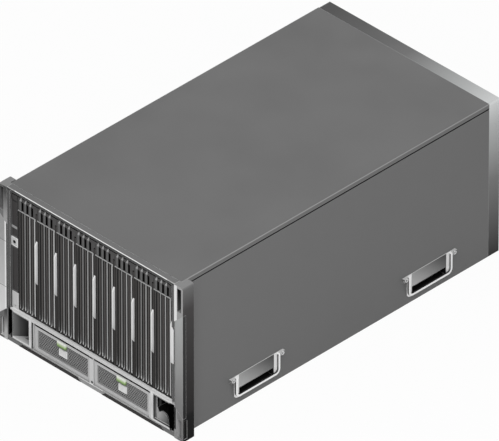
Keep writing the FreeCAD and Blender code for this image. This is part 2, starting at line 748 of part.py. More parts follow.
def build_ears():
    ear = new_body("ear")
    inner = OUTER - S.ear_width
    beside = HALF + S.slack
    step = S.cover_start - S.slack
    outline = (
        (inner, back(ZERO)), (OUTER, back(ZERO)), (OUTER, back(S.ear_depth)),
        (beside, back(S.ear_depth)), (beside, back(step)), (inner, back(step)),
    )
    pad(ear, "XY", ZERO, S.tall, [outline])
    round_edges(ear, S.ear_round,
                lambda spot, along: runs(along, "y") and near(spot.z, S.tall) and near(spot.x, OUTER))
    lower_top = S.channel_edge + S.lower_channel
    upper_top = S.tall - S.channel_edge
    upper_low = upper_top - S.upper_channel
    grip_low = lower_top + S.grip_gap
    grip_top = upper_low - S.grip_gap
    lean = S.grip_slant / S.ear_width * S.past
    seat = (
        (inner - S.past, grip_low + S.grip_slant + lean), (OUTER + S.past, grip_low - lean),
        (OUTER + S.past, grip_top + lean), (inner - S.past, grip_top - S.grip_slant - lean),
    )
    cut(ear, "XZ", back(-S.past), back(S.grip_deep), [seat])
    wall = OUTER - S.ear_wall
    channels = [
        rectangle(wall - S.channel_wide, upper_low, wall, upper_top),
        rectangle(wall - S.channel_wide, S.channel_edge, wall, lower_top),
    ]
    floor = S.ear_depth - S.flange_thick
    cut(ear, "XZ", back(-S.past), back(floor), channels)
    heights = (S.rack_hole_low, S.tall - S.rack_hole_drop)
    holes = [(OUTER - S.rack_hole_inset, height, S.rack_hole_r) for height in heights]
    cut(ear, "XZ", back(floor - S.past), back(S.ear_depth + S.past), circles=holes)
    cut(ear, "YZ", OUTER - S.side_recess_deep, OUTER + S.past,
        [rectangle(back(S.side_recess_front), S.channel_edge, back(S.side_recess_back), lower_top)])
    finish(ear, "right_ear")
    finish(mirrored(ear), "left_ear")

    grip = new_body("grip")
    gap = S.slack / 2
    edge = inner + gap
    pad(grip, "XZ", back(ZERO), back(S.grip_deep), [(
        (edge, grip_low + S.grip_slant + gap), (OUTER - gap, grip_low + S.slack),
        (OUTER - gap, grip_top - S.slack), (edge, grip_top - S.grip_slant - gap),
    )])
    round_edges(grip, S.grip_round,
                lambda spot, along: runs(along, "z") and near(spot.y, back(ZERO)) and near(spot.x, edge))
    finish(group("grips", [grip, mirrored(grip)]), "ear_grips")


def build_operator_strip():
    left = S.slack - bay_half
    right = left + S.strip_wide
    middle = (left + right) / 2
    upper_top = module_top - S.window_head
    upper_low = upper_top - S.window_a_tall
    middle_top = upper_low - S.window_gap
    middle_low = middle_top - S.window_b_tall
    button_mid = middle_low - S.button_drop
    spans = (
        (upper_low, upper_top),
        (middle_low, middle_top),
        (S.strip_low + S.window_c_foot, button_mid - S.window_c_drop),
    )

    def button_outline(gap):
        half_wide = S.button_wide / 2 + gap
        half_tall = S.button_tall / 2 + gap
        return rectangle(middle - half_wide, button_mid - half_tall, middle + half_wide, button_mid + half_tall)

    strip = new_body("strip")
    pad(strip, "XZ", back(S.strip_setback), back(S.strip_back),
        [rectangle(left, S.strip_low, right, module_top), button_outline(S.fit)])
    floor = S.strip_setback + S.window_deep
    recesses = [rectangle(left + S.window_edge, low, right - S.window_edge, top) for low, top in spans]
    cut(strip, "XZ", back(S.strip_setback - S.past), back(floor), recesses)
    finish(strip, "operator_panel")

    panes = []
    edge = S.window_edge + S.slack
    for low, top in spans:
        pane = new_body("pane")
        pad(pane, "XZ", back(floor - S.window_thick), back(floor),
            [rectangle(left + edge, low + S.slack, right - edge, top - S.slack)])
        panes.append(pane)
    finish(group("panes", panes), "panel_windows")

    face = S.strip_setback - S.button_proud
    foot = new_body("foot")
    foot_low = S.bay_low + S.fit
    pad(foot, "XZ", back(face), back(S.strip_back), [rectangle(left, foot_low, right, S.strip_low - S.slack)])
    round_edges(foot, S.foot_block_round, lambda spot, along: near(spot.y, back(face)) and runs(along, "z"))
    slot_low = foot_low + S.foot_notch_rise
    slot_end = slot_low + S.foot_notch_tall
    slot = rectangle(middle - S.foot_notch_half, slot_low, middle + S.foot_notch_half, slot_end)
    cut(foot, "XZ", back(face - S.past), back(face + S.foot_notch_tall), [slot])
    finish(foot, "panel_foot")

    button = new_body("button")
    pad(button, "XZ", back(face), back(face + S.button_deep), [button_outline(ZERO)])
    round_edges(button, S.button_round, lambda spot, along: near(spot.y, back(face)))
    finish(button, "power_button")


def build_corner_pockets():
    pocket = new_body("pocket")
    inner = corner_inner + S.pocket_side
    outer = corner_outer - S.pocket_edge
    floor = S.corner_low + S.pocket_floor
    mouth = rectangle(inner, floor, outer, shelf_low - S.pocket_roof)
    rim_mouth = rectangle(inner, floor, outer, shelf_low + S.rim_rise)
    box_left = corner_inner + S.slack
    box_right = corner_outer - S.slack
    box_low = S.corner_low + S.slack
    rim = rectangle(box_left, box_low, box_right, S.bay_low - S.slack)
    case = rectangle(box_left, box_low, box_right, shelf_low - S.slack)
    pad(pocket, "XZ", back(S.rim_front), back(S.frame_setback), [rim, rim_mouth])
    pad(pocket, "XZ", back(S.frame_setback), back(S.pocket_deep), [case, mouth])
    pad(pocket, "XZ", back(S.pocket_deep), back(S.pocket_deep + S.pocket_back), [case])
    base = floor - S.past
    scoop_top = floor + S.scoop_tall
    scoop = (
        (inner - S.past, base), (inner + S.scoop_wide, base, -S.scoop_radius),
        (inner + S.past, scoop_top), (inner - S.past, scoop_top),
    )
    pad(pocket, "XZ", back(S.scoop_front), back(S.pocket_deep + S.past), [scoop])
    finish(group("pockets", [pocket, mirrored(pocket)]), "corner_pockets")


def build_bezel():
    bezel = new_body("bezel")
    face = back(S.face_setback)
    fin_first = notch_start - S.fin_edge - S.fin_wide - S.fin_pitch * (FINS - 1)
    slots = []
    for number in range(FINS):
        start = fin_first - S.slot_before + S.fin_pitch * number
        slots.append(rectangle(start, slot_low, start + S.slot_wide, slot_top))
    outline = rectangle(ZERO, module_low, module_wide, module_top)
    pad(bezel, "XZ", face, back(bezel_back), [outline] + slots)
    fin_front = face - S.fin_proud
    fin_low = module_low + S.fin_foot
    fin_top = slot_low - S.fin_head
    fin_profile = (
        (face + S.past, fin_low - S.past), (face, fin_low, -S.fin_curve), (fin_front, fin_low + S.fin_run),
        (fin_front, fin_top - S.fin_end), (face, fin_top), (face + S.past, fin_top),
    )
    fin = pad(bezel, "YZ", fin_first, fin_first + S.fin_wide, [fin_profile])
    row_of(bezel, fin, "X", S.fin_pitch, FINS)
    louvre_right = fin_first - S.slot_before - S.slack / 2
    louvre_left = louvre_right - S.louvre_wide
    shoulder = module_top + S.louvre_rise
    tip = shoulder + S.louvre_point
    louvre_profile = (
        (face + S.past, slot_low), (fin_front, slot_low), (fin_front, tip),
        (face, shoulder), (face + S.past, module_top - S.past),
    )
    louvre = pad(bezel, "YZ", louvre_left, louvre_right, [louvre_profile])
    row_of(bezel, louvre, "X", S.fin_pitch, FINS)
    above = (
        (louvre_left - S.slack, tip - S.louvre_lean), (louvre_right, tip),
        (louvre_right, tip + S.past), (louvre_left - S.slack, tip + S.past),
    )
    lean = cut(bezel, "XZ", fin_front - S.past, face, [above])
    row_of(bezel, lean, "X", S.fin_pitch, FINS)
    floor = face + S.groove_deep
    groove_low = fin_low + S.groove_foot
    groove_top = slot_low - S.groove_head
    groove_profile = (
        (face - S.past, groove_low - S.past), (face, groove_low),
        (floor, groove_low + S.groove_run), (floor, groove_top), (face - S.past, groove_top),
    )
    groove_end = fin_first - S.slack / 2
    groove = cut(bezel, "YZ", groove_end - S.groove_wide, groove_end, [groove_profile])
    row_of(bezel, groove, "X", S.fin_pitch, FINS)
    cut(bezel, "XZ", face - S.past, back(bezel_back) + S.past,
        [rectangle(notch_start, notch_low, module_wide + S.past, notch_top)])
    pad(bezel, "YZ", notch_start - S.past, module_wide - S.fit,
        circles=[(back(pivot_deep), pivot_tall, S.pivot_r)])
    bind(bezel, "Placement.Base.x", module_left)
    return bezel


def build_lever():
    lever = new_body("lever")
    front = back(lever_front)
    rear = front + S.lever_deep
    grip = back(S.lever_setback)
    low = notch_low + S.lever_foot_gap
    grip_low = low + S.grip_foot
    grip_top = grip_low + S.grip_tall
    outline = (
        (front, low), (rear, low), (rear, lever_top), (front, lever_top),
        (front, grip_top + S.grip_shoulder), (grip, grip_top), (grip, grip_low),
    )
    pad(lever, "YZ", notch_start + S.fit, module_wide - S.fit, [outline],
        circles=[(back(pivot_deep), pivot_tall, S.pivot_r + S.pin_clear)])
    bind(lever, "Placement.Base.x", module_left)
    return lever


def build_tray():
    left = S.tray_left
    right = module_wide - S.tray_right
    plate = left + S.tray_sheet
    tray = new_body("tray")
    outline = (
        (left, tray_low), (right, tray_low), (right, tray_low + S.tray_sheet),
        (plate, tray_low + S.tray_sheet), (plate, tray_top - S.tray_sheet),
        (right, tray_top - S.tray_sheet), (right, tray_top), (left, tray_top),
    )
    pad(tray, "XZ", back(bezel_back), back(tray_end), [outline])
    board = new_body("board")
    pad(board, "XZ", back(bezel_back + S.board_setback), back(tray_end),
        [rectangle(plate, tray_low + S.board_edge, board_face, tray_top - S.board_edge)])
    sink_tip = board_face + S.sink_reach
    sink_floor = board_face + S.sink_base
    pitch = (S.sink_tall - S.sink_fin) / (SINK_FINS - 1)
    for low in (tray_low + S.sink_margin, tray_top - S.sink_margin - S.sink_tall):
        comb = [(board_face, low), (sink_tip, low)]
        for number in range(SINK_FINS - 1):
            fin_top = low + pitch * number + S.sink_fin
            next_fin = low + pitch * (number + 1)
            comb += [(sink_tip, fin_top), (sink_floor, fin_top), (sink_floor, next_fin), (sink_tip, next_fin)]
        comb += [(sink_tip, low + S.sink_tall), (board_face, low + S.sink_tall)]
        pad(board, "XZ", back(S.sink_start), back(S.sink_start + S.sink_long), [comb])
    card_low = (tray_low + tray_top - S.memory_pitch * (MEMORY_CARDS - 1) - S.memory_thick) / 2
    card = pad(board, "XZ", back(S.memory_start), back(S.memory_start + S.memory_long),
               [rectangle(board_face, card_low, board_face + S.memory_reach, card_low + S.memory_thick)])
    row_of(board, card, "Z", S.memory_pitch, MEMORY_CARDS)
    pad(board, "XZ", back(tray_end - S.plug_long), back(tray_end),
        [rectangle(board_face, plug_low, board_face + S.plug_reach, plug_top)])
    whole = group("tray_set", [tray, board])
    bind(whole, "Placement.Base.x", module_left)
    return whole


def build_modules():
    masters = (("bezel", build_bezel()), ("tray", build_tray()), ("lever", build_lever()))
    for number in range(MODULES):
        for kind, master in masters:
            piece = master if number == 0 else moved_copy(master, across=module_pitch * number)
            finish(piece, "module_%d_%s" % (number + 1, kind))


def build_guides():
    pieces = []
    half = HALF - S.deck_inset
    deck_top = tray_low - S.fit
    roof_low = tray_top + S.fit
    plates = (
        (deck_top - S.deck_thick, deck_top, deck_top, deck_top + S.rib_tall),
        (roof_low, roof_low + S.deck_thick, roof_low - S.rib_tall, roof_low),
    )
    for low, top, rib_low, rib_top in plates:
        deck = new_body("deck")
        pad(deck, "XZ", back(S.ear_depth), back(midplane_front), [rectangle(-half, low, half, top)])
        start = module_left - S.rib_before
        rib = pad(deck, "XZ", back(S.ear_depth), back(midplane_front),
                  [rectangle(start, rib_low, start + S.rib_wide, rib_top)])
        row_of(deck, rib, "X", module_pitch, MODULES + 1)
        pieces.append(deck)
    finish(group("guides", pieces), "module_guides")

    board = new_body("midplane")
    vents = []
    mates = []
    for number in range(MODULES):
        surface = module_left + module_pitch * number + board_face
        plug_end = surface + S.plug_reach
        vent_end = module_left + module_pitch * number + notch_start
        mates.append(rectangle(surface, plug_low, plug_end, plug_top))
        vents.append(rectangle(plug_end + S.vent_gap, tray_low + S.vent_margin,
                               vent_end, tray_top - S.vent_margin))
    half = HALF - S.midplane_inset
    outline = rectangle(-half, S.floor_sheet, half, S.tall - S.sheet * 2)
    pad(board, "XZ", back(midplane_front), back(midplane_front + S.midplane_thick), [outline] + vents)
    pad(board, "XZ", back(midplane_front - S.mate_thick), back(midplane_front), mates)
    finish(board, "midplane_board")


def build_supply_case():
    right = psu_left + psu_wide
    end = midplane_front - S.psu_tail
    case = new_body("case")
    pad(case, "XZ", back(S.psu_setback), back(end), [rectangle(psu_left, psu_low, right, psu_low + psu_tall)])
    mouth = rectangle(psu_left + S.psu_side, psu_low + S.psu_edge,
                      right - S.psu_side, psu_low + psu_tall - S.psu_edge)
    cut(case, "XZ", back(S.psu_setback - S.past), back(end - S.psu_back), [mouth])
    return case


def build_supply_grille(middle, tab_low, tab_top, stem_low, stem_top):
    grille = new_body("grille")
    seat = S.grille_seat
    left = psu_left + S.psu_side + seat
    right = psu_left + psu_wide - S.psu_side - seat
    low = psu_low + S.psu_edge + seat
    top = psu_low + psu_tall - S.psu_edge - seat
    front = S.psu_setback + S.grille_sunk
    rear = front + S.grille_thick
    pad(grille, "XZ", back(front), back(rear), [rectangle(left, low, right, top)])
    first_across = middle - S.cell_pitch * (CELL_COLUMNS - 1) / 2
    first_upward = (low + top - S.cell_rise * (CELL_ROWS - 1)) / 2
    for row in range(CELL_ROWS):
        offset_row = row % 2
        across = first_across - S.cell_pitch / 2 * offset_row
        upward = first_upward + S.cell_rise * row
        corners = []
        for corner in range(HEX_CORNERS):
            angle = math.pi * (2 * corner + 1) / HEX_CORNERS
            corners.append((across + S.cell_radius * math.cos(angle), upward + S.cell_radius * math.sin(angle)))
        cell = cut(grille, "XZ", back(front - S.past), back(rear + S.past), [corners])
        row_of(grille, cell, "X", S.cell_pitch, CELL_COLUMNS + offset_row)
    tab_left = middle - S.tab_half
    tab_right = middle + S.tab_half
    tab_front = back(S.psu_setback - S.tab_proud)
    pad(grille, "XZ", back(front), back(rear), [rectangle(tab_left, tab_low, tab_right, top)])
    pad(grille, "XZ", tab_front, back(rear), [rectangle(tab_left, tab_low, tab_right, tab_top)])
    round_edges(grille, S.tab_round, lambda spot, along: near(spot.y, tab_front))
    half = S.stem_half + S.fit
    slot = rectangle(middle - half, stem_low - S.latch_travel - S.fit, middle + half, stem_top + S.fit)
    cut(grille, "XZ", back(front - S.past), back(rear + S.past), [slot])
    return grille


def build_supply_latch(middle, low, stem_low, stem_top):
    latch = new_body("latch")
    rear = back(S.psu_setback - S.latch_gap)
    front = rear - S.latch_thick
    pad(latch, "XZ", front, rear,
        [rectangle(middle - S.latch_half, low, middle + S.latch_half, low + S.latch_tall)])
    round_edges(latch, S.latch_round, lambda spot, along: near(spot.y, front))
    pad(latch, "XZ", rear, rear + S.stem_long,
        [rectangle(middle - S.stem_half, stem_low, middle + S.stem_half, stem_top)])
    return latch


def build_supplies():
    middle = psu_left + psu_wide / 2
    tab_low = psu_low + S.tab_low
    tab_top = tab_low + S.tab_tall
    latch_low = tab_top + S.latch_travel + S.latch_stop
    stem_low = latch_low + S.stem_rise
    stem_top = stem_low + S.stem_tall
    masters = (
        ("case", build_supply_case()),
        ("grille", build_supply_grille(middle, tab_low, tab_top, stem_low, stem_top)),
        ("latch", build_supply_latch(middle, latch_low, stem_low, stem_top)),
    )
    runners = []
    for number in range(SUPPLIES):
        shift = psu_pitch * number
        for kind, master in masters:
            piece = master if number == 0 else moved_copy(master, across=shift)
            finish(piece, "psu_%d_%s" % (number + 1, kind))
        left = psu_left + shift + S.runner_inset
        right = psu_left + shift + psu_wide - S.runner_inset - S.runner_wide
        for start in (left, right):
            runner = new_body("runner")
            pad(runner, "XZ", back(S.ear_depth), back(midplane_front - S.runner_gap),
                [rectangle(start, S.floor_sheet, start + S.runner_wide, S.runner_top)])
            runners.append(runner)
    finish(group("runners", runners), "psu_guides")


def build_lifting_handles():
    plate_half = S.bail_half + S.lug_gap + S.lug_wide
    axis = HALF + S.plate_thick + S.bail_gap + S.bail_thick / 2
    axis_tall = S.plate_top - S.axis_drop

    def along(offset):
        return back(S.handle_first + offset)

    socket = new_body("socket")
    cup_side = cup_half() + S.cup_wall
    skirt = S.bail_half + S.plate_rim
    turn = skirt - S.bail_round
    plate_low = S.cup_low - S.plate_edge
    plate_turn = plate_low + S.bail_round
    step = axis_tall - S.axis_drop
    plate = (
        (along(-turn), plate_low), (along(turn), plate_low, S.bail_round), (along(skirt), plate_turn),
        (along(skirt), step), (along(plate_half), step), (along(plate_half), S.plate_top),
        (along(-plate_half), S.plate_top), (along(-plate_half), step), (along(-skirt), step),
        (along(-skirt), plate_turn, S.bail_round),
    )
    mouth = rectangle(along(-cup_half()), S.cup_low, along(cup_half()), S.cup_top)
    cup = rectangle(along(-cup_side), S.cup_low - S.cup_wall, along(cup_side), S.cup_top + S.cup_wall)
    pad(socket, "YZ", HALF, HALF + S.plate_thick, [plate, mouth])
    pad(socket, "YZ", HALF - S.cup_deep, HALF, [cup, mouth])
    pad(socket, "YZ", HALF - S.cup_deep - S.cup_wall, HALF - S.cup_deep, [cup])
    lug_start = S.bail_half + S.lug_gap
    lugs = [rectangle(along(lug_start), step, along(plate_half), S.plate_top),
            rectangle(along(-plate_half), step, along(-lug_start), S.plate_top)]
    pad(socket, "YZ", HALF + S.plate_thick, axis + S.bail_thick / 2, lugs)
    cut(socket, "XZ", along(-plate_half - S.past), along(plate_half + S.past),
        circles=[(axis, axis_tall, S.trunnion_r + S.pin_clear)])

    bail = new_body("bail")
    inside = S.bail_half - S.bail_bar
    head = axis_tall + S.bail_head
    bar_top = S.bail_low + S.bail_bar
    outline = (
        (along(-S.bail_half), S.bail_low), (along(S.bail_half), S.bail_low), (along(S.bail_half), head),
        (along(inside), head), (along(inside), bar_top), (along(-inside), bar_top),
        (along(-inside), head), (along(-S.bail_half), head),
    )
    pad(bail, "YZ", axis - S.bail_thick / 2, axis + S.bail_thick / 2, [outline])
    round_edges(bail, S.bail_round, lambda spot, line: runs(line, "x") and near(spot.z, S.bail_low))
    round_edges(bail, S.bail_round - S.bail_bar,
                lambda spot, line: runs(line, "x") and near(spot.z, bar_top))
    pad(bail, "XZ", along(S.bail_half - S.past), along(S.bail_half + S.trunnion_long),
        circles=[(axis, axis_tall, S.trunnion_r)])
    pad(bail, "XZ", along(-S.bail_half - S.trunnion_long), along(-S.bail_half + S.past),
        circles=[(axis, axis_tall, S.trunnion_r)])

    sockets = []
    for place, offset in (("front", None), ("rear", handle_second - S.handle_first)):
        near_socket = socket if offset is None else moved_copy(socket, along=offset)
        near_bail = bail if offset is None else moved_copy(bail, along=offset)
        sockets += [near_socket, mirrored(near_socket)]
        finish(near_bail, "right_%s_handle" % place)
        finish(mirrored(near_bail), "left_%s_handle" % place)
    finish(group("sockets", sockets), "handle_sockets")


def build_fans():
    start = back(S.deep - S.panel_inset - S.fan_deep)
    half = S.fan_side / 2
    reach = fan_bore + S.past
    strut = S.strut_half
    strut_start = S.fan_deep - S.strut_thick
    motor_start = S.fan_deep - S.motor_long
    frame = new_body("fan")
    pad(frame, "XZ", ZERO, S.fan_deep, [rectangle(-half, -half, half, half)], [(ZERO, ZERO, fan_bore)])
    pad(frame, "XZ", strut_start, S.fan_deep, [rectangle(-reach, -strut, reach, strut)])
    pad(frame, "XZ", strut_start, S.fan_deep, [rectangle(-strut, -reach, strut, reach)])
    pad(frame, "XZ", motor_start, S.fan_deep, circles=[(ZERO, ZERO, S.motor_r)])
    pad(frame, "XZ", S.spindle_start, motor_start + S.past, circles=[(ZERO, ZERO, S.spindle_r)])

    rotor = new_body("rotor")
    hub_end = motor_start - S.hub_gap
    pad(rotor, "XZ", S.hub_start, hub_end, circles=[(ZERO, ZERO, S.hub_r)])
    vane = pad(rotor, "XY", S.hub_r - S.vane_sink, fan_bore - S.vane_gap, [(
        (-S.vane_half, S.vane_front), (-S.vane_half + S.vane_thick, S.vane_front),
        (S.vane_half, S.vane_rear), (S.vane_half - S.vane_thick, S.vane_rear),
    )])
    ring_of(rotor, vane, "Y", VANES)
    cut(rotor, "XZ", S.hub_start - S.past, hub_end + S.past,
        circles=[(ZERO, ZERO, S.spindle_r + S.pin_clear)])

    for piece in (frame, rotor):
        bind(piece, "Placement.Base.x", fan_first)
        bind(piece, "Placement.Base.y", start)
        bind(piece, "Placement.Base.z", fan_mid)
    frames = []
    for number in range(FANS):
        shift = fan_pitch * number
        frames.append(frame if number == 0 else moved_copy(frame, across=shift))
        finish(rotor if number == 0 else moved_copy(rotor, across=shift), "fan_rotor_%d" % (number + 1))
    finish(group("fans", frames), "fan_frames")


def build_rear_frame():
    ring = new_body("ring")
    inner_half = HALF - S.rear_wall
    opening = rectangle(-inner_half, S.rear_wall, inner_half, S.tall - S.rear_wall)
    pad(ring, "XZ", back(S.deep - S.rear_depth), back(S.deep), [rectangle(-HALF, ZERO, HALF, S.tall), opening])
    round_edges(ring, S.rear_round, lambda spot, along: runs(along, "y") and near(spot.z, S.tall))
    finish(ring, "rear_frame")


def build_rear_panel(cover_top, port_left):
    panel = new_body("panel")
    edge = S.rear_wall + S.slack
    outline = rectangle(edge - HALF, edge, HALF - edge, S.tall - edge)
    holes = [
        rectangle(covers_left + S.cover_rim, S.cover_low + S.cover_rim,
                  covers_right - S.cover_rim, cover_top - S.cover_rim),
        rectangle(port_left - S.slack, S.port_low - S.slack,
                  port_left + S.port_wide + S.slack, S.port_low + S.port_tall + S.slack),
    ]
    wide = S.inlet_wide / 2 + S.slack
    high = S.inlet_high / 2 + S.slack
    for number in range(SUPPLIES):
        middle = inlet_first + S.inlet_pitch * number
        holes.append(rectangle(middle - wide, S.inlet_mid - high, middle + wide, S.inlet_mid + high))
    wall = back(rear_face - S.panel_thick)
    pad(panel, "XZ", wall, back(rear_face), [outline] + holes)
    radius = fan_bore - S.guard_inset
    pitch = (radius - S.guard_end) * 2 / (2 * GUARD_PAIRS - 1)
    half = S.guard_wide / 2
    for pair in range(GUARD_PAIRS):
        offset = pitch * (2 * pair + 1) / 2
        reach = square_root(radius * radius - offset * offset)
        slots = []
        for middle in (fan_first - offset, fan_first + offset):
            slots.append(rectangle(middle - half, fan_mid - reach, middle + half, fan_mid + reach))
        guard = cut(panel, "XZ", wall - S.past, back(rear_face) + S.past, slots)
        row_of(panel, guard, "X", fan_pitch, FANS)
    finish(panel, "rear_panel")


def build_slot_covers(cover_top):
    covers = []
    for number in range(EXPANSION_COVERS):
        cover = new_body("blank")
        start = covers_left + S.cover_pitch * number
        end = start + S.cover_pitch - S.cover_split
        pad(cover, "XZ", back(rear_face), back(rear_face + S.panel_thick / 2),
            [rectangle(start, S.cover_low, end, cover_top)])
        covers.append(cover)
    finish(group("covers", covers), "slot_covers")


def build_ports(port_left):
    ports = new_body("ports")
    end = rear_face + S.panel_thick / 2
    pad(ports, "XZ", back(end - S.port_deep), back(end),
        [rectangle(port_left, S.port_low, port_left + S.port_wide, S.port_low + S.port_tall)])
    middle = S.port_low + S.port_tall / 2
    jacks = []
    buses = []
    for number in range(SOCKET_PAIR):
        start = port_left + S.jack_first + S.jack_pitch * number
        jacks.append(rectangle(start, middle - S.jack_tall / 2, start + S.jack_wide, middle + S.jack_tall / 2))
        start = port_left + S.bus_first
        base = middle - (S.bus_rise + S.bus_tall) / 2 + S.bus_rise * number
        gap = S.bus_tongue
        buses.append(rectangle(start, base, start + S.bus_wide, base + S.bus_tall))
        buses.append(rectangle(start + gap, base + gap, start + S.bus_wide - gap, base + S.bus_tall - gap))
    cut(ports, "XZ", back(end - S.jack_deep), back(end + S.past), jacks)
    cut(ports, "XZ", back(end - S.bus_deep), back(end + S.past), buses)
    start = port_left + S.screen_first
    base = middle - S.screen_tall / 2
    screen = (
        (start + S.screen_lean, base), (start + S.screen_wide - S.screen_lean, base),
        (start + S.screen_wide, base + S.screen_tall), (start, base + S.screen_tall),
    )
    pad(ports, "XZ", back(end), back(end + S.screen_proud), [screen])
    finish(ports, "port_block")


def centred(across, upward, wide, high):
    return rectangle(across - wide / 2, upward - high / 2, across + wide / 2, upward + high / 2)


def build_inlets():
    inlet = new_body("inlet")
    end = rear_face + S.inlet_proud
    floor = end - S.well_deep
    pad(inlet, "XZ", back(end - S.inlet_deep), back(end), [centred(ZERO, ZERO, S.inlet_wide, S.inlet_high)])
    cut(inlet, "XZ", back(floor), back(end + S.past), [centred(ZERO, ZERO, S.well_wide, S.well_high)])
    spots = ((-S.pin_out, -S.pin_drop), (ZERO, S.pin_drop), (S.pin_out, -S.pin_drop))
    pins = [centred(across, rise, S.pin_wide, S.pin_high) for across, rise in spots]
    pad(inlet, "XZ", back(floor), back(floor + S.pin_long), pins)
    bind(inlet, "Placement.Base.x", inlet_first)
    bind(inlet, "Placement.Base.z", S.inlet_mid)
    copies = [moved_copy(inlet, across=S.inlet_pitch * number) for number in range(1, SUPPLIES)]
    finish(group("inlets", [inlet] + copies), "power_inlets")


def build_rear():
    cover_top = fan_mid - S.fan_side / 2 - S.cover_head
    port_left = covers_right + S.port_gap
    build_rear_frame()
    build_rear_panel(cover_top, port_left)
    build_slot_covers(cover_top)
    build_ports(port_left)
    build_inlets()


build_base_pan()
build_side_panels()
build_top_cover()
build_front_frame()
build_ears()
build_operator_strip()
build_corner_pockets()
build_modules()
build_guides()
build_supplies()
build_lifting_handles()
build_fans()
build_rear()
doc.recompute()

faults = [item.Label for item in doc.Objects if "Invalid" in item.State or "Error" in item.State]
for piece in nodes:
    if piece.Shape.isNull() or not piece.Shape.isValid():
        faults.append(piece.Label)
if faults:
    raise RuntimeError("pieces that did not build: " + ", ".join(faults))
for piece in nodes:
    piece.Shape.exportStep("parts/%s.step" % piece.Label)
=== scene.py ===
import json
import math

import bmesh
import bpy
from mathutils import Matrix, Vector


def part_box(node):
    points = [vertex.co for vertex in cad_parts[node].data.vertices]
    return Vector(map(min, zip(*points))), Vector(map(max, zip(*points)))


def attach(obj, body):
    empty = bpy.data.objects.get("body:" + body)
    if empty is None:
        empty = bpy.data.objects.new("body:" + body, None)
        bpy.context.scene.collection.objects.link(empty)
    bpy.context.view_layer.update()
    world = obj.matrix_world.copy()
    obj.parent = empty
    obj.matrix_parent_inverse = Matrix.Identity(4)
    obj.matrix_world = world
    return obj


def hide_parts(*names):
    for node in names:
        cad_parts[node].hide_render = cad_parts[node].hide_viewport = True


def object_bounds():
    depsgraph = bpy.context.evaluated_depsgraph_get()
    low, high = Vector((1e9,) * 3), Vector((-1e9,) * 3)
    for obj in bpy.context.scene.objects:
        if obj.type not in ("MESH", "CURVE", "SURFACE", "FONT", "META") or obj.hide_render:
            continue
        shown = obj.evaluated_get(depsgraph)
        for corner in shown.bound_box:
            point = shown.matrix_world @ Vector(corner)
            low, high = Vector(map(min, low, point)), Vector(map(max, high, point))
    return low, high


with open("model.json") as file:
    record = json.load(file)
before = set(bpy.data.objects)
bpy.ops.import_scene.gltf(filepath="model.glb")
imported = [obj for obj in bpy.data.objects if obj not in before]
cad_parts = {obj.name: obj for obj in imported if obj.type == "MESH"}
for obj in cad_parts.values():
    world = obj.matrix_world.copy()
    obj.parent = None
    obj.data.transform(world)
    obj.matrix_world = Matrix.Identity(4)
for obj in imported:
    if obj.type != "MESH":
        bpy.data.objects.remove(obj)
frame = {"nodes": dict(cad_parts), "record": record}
cad_low, cad_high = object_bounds()

MM = 0.001
MODULES = range(1, 9)
SUPPLIES = (1, 2)
FANS = (1, 2, 3)
SIDES = (("left", -1), ("right", 1))
HANDLES = ("right_front_handle", "right_rear_handle", "left_front_handle", "left_rear_handle")
HALF_WIDE = cad_high.x / MM
TALL = cad_high.z / MM
EAR_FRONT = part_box("left_ear")[0].y
TO_FRONT = Matrix.Rotation(math.radians(90), 4, "X")
TO_BACK = Matrix.Rotation(math.radians(-90), 4, "X")
TO_RIGHT = Matrix.Rotation(math.radians(90), 4, "Y")
TO_LEFT = Matrix.Rotation(math.radians(-90), 4, "Y")


def back(depth):
    """The place of a depth, in millimetres, behind the front of the rack ears."""
    return EAR_FRONT + depth * MM


# ---------------- colours and node wiring

def tone(red, green=None, blue=None):
    """Linear colour of a shade written on the 0 to 255 display scale; one number is a grey."""
    shades = (red, red if green is None else green, red if blue is None else blue)
    linear = []
    for shade in shades:
        part = shade / 255.0
        linear.append(part / 12.92 if part <= 0.04045 else ((part + 0.055) / 1.055) ** 2.4)
    return (*linear, 1.0)


def feed(tree, socket, value):
    """Give a socket its number or colour, or wire it to another node's output."""
    if isinstance(value, bpy.types.NodeSocket):
        tree.links.new(value, socket)
    else:
        socket.default_value = value


def place_node(tree, kind, settings=None, **sockets):
    """A new node with its settings and sockets filled; a socket's spaces are written as _."""
    node = tree.nodes.new(kind)
    for name, value in (settings or {}).items():
        setattr(node, name, value)
    for name, value in sockets.items():
        feed(tree, node.inputs[name.replace("_", " ")], value)
    return node


def arithmetic(tree, operation, first, second=0.0):
    node = place_node(tree, "ShaderNodeMath", {"operation": operation})
    feed(tree, node.inputs[0], first)
    feed(tree, node.inputs[1], second)
    return node.outputs[0]


def spread(tree, value, start, end, low=0.0, high=1.0):
    """Map a value's run from start to end onto the run from low to high, held at both ends."""
    node = place_node(tree, "ShaderNodeMapRange", Value=value, From_Min=start, From_Max=end,
                      To_Min=low, To_Max=high)
    return node.outputs["Result"]


def new_effect(name, inputs, outputs):
    """An empty shader node group; returns its tree, its input sockets and its output sockets."""
    tree = bpy.data.node_groups.new(name, "ShaderNodeTree")
    for label, kind, value in inputs:
        socket = tree.interface.new_socket(label, in_out="INPUT", socket_type=kind)
        socket.default_value = value
    for label in outputs:
        tree.interface.new_socket(label, in_out="OUTPUT", socket_type="NodeSocketFloat")
    entry = tree.nodes.new("NodeGroupInput")
    leave = tree.nodes.new("NodeGroupOutput")
    return tree, entry.outputs, leave.inputs


# ---------------- shared effects

NOISE_LOW, NOISE_HIGH = 0.3, 0.7
FLAT_FACE, SHARP_EDGE = 0.985, 0.80
LINE_COUNT = (40.0, 900.0, 900.0)


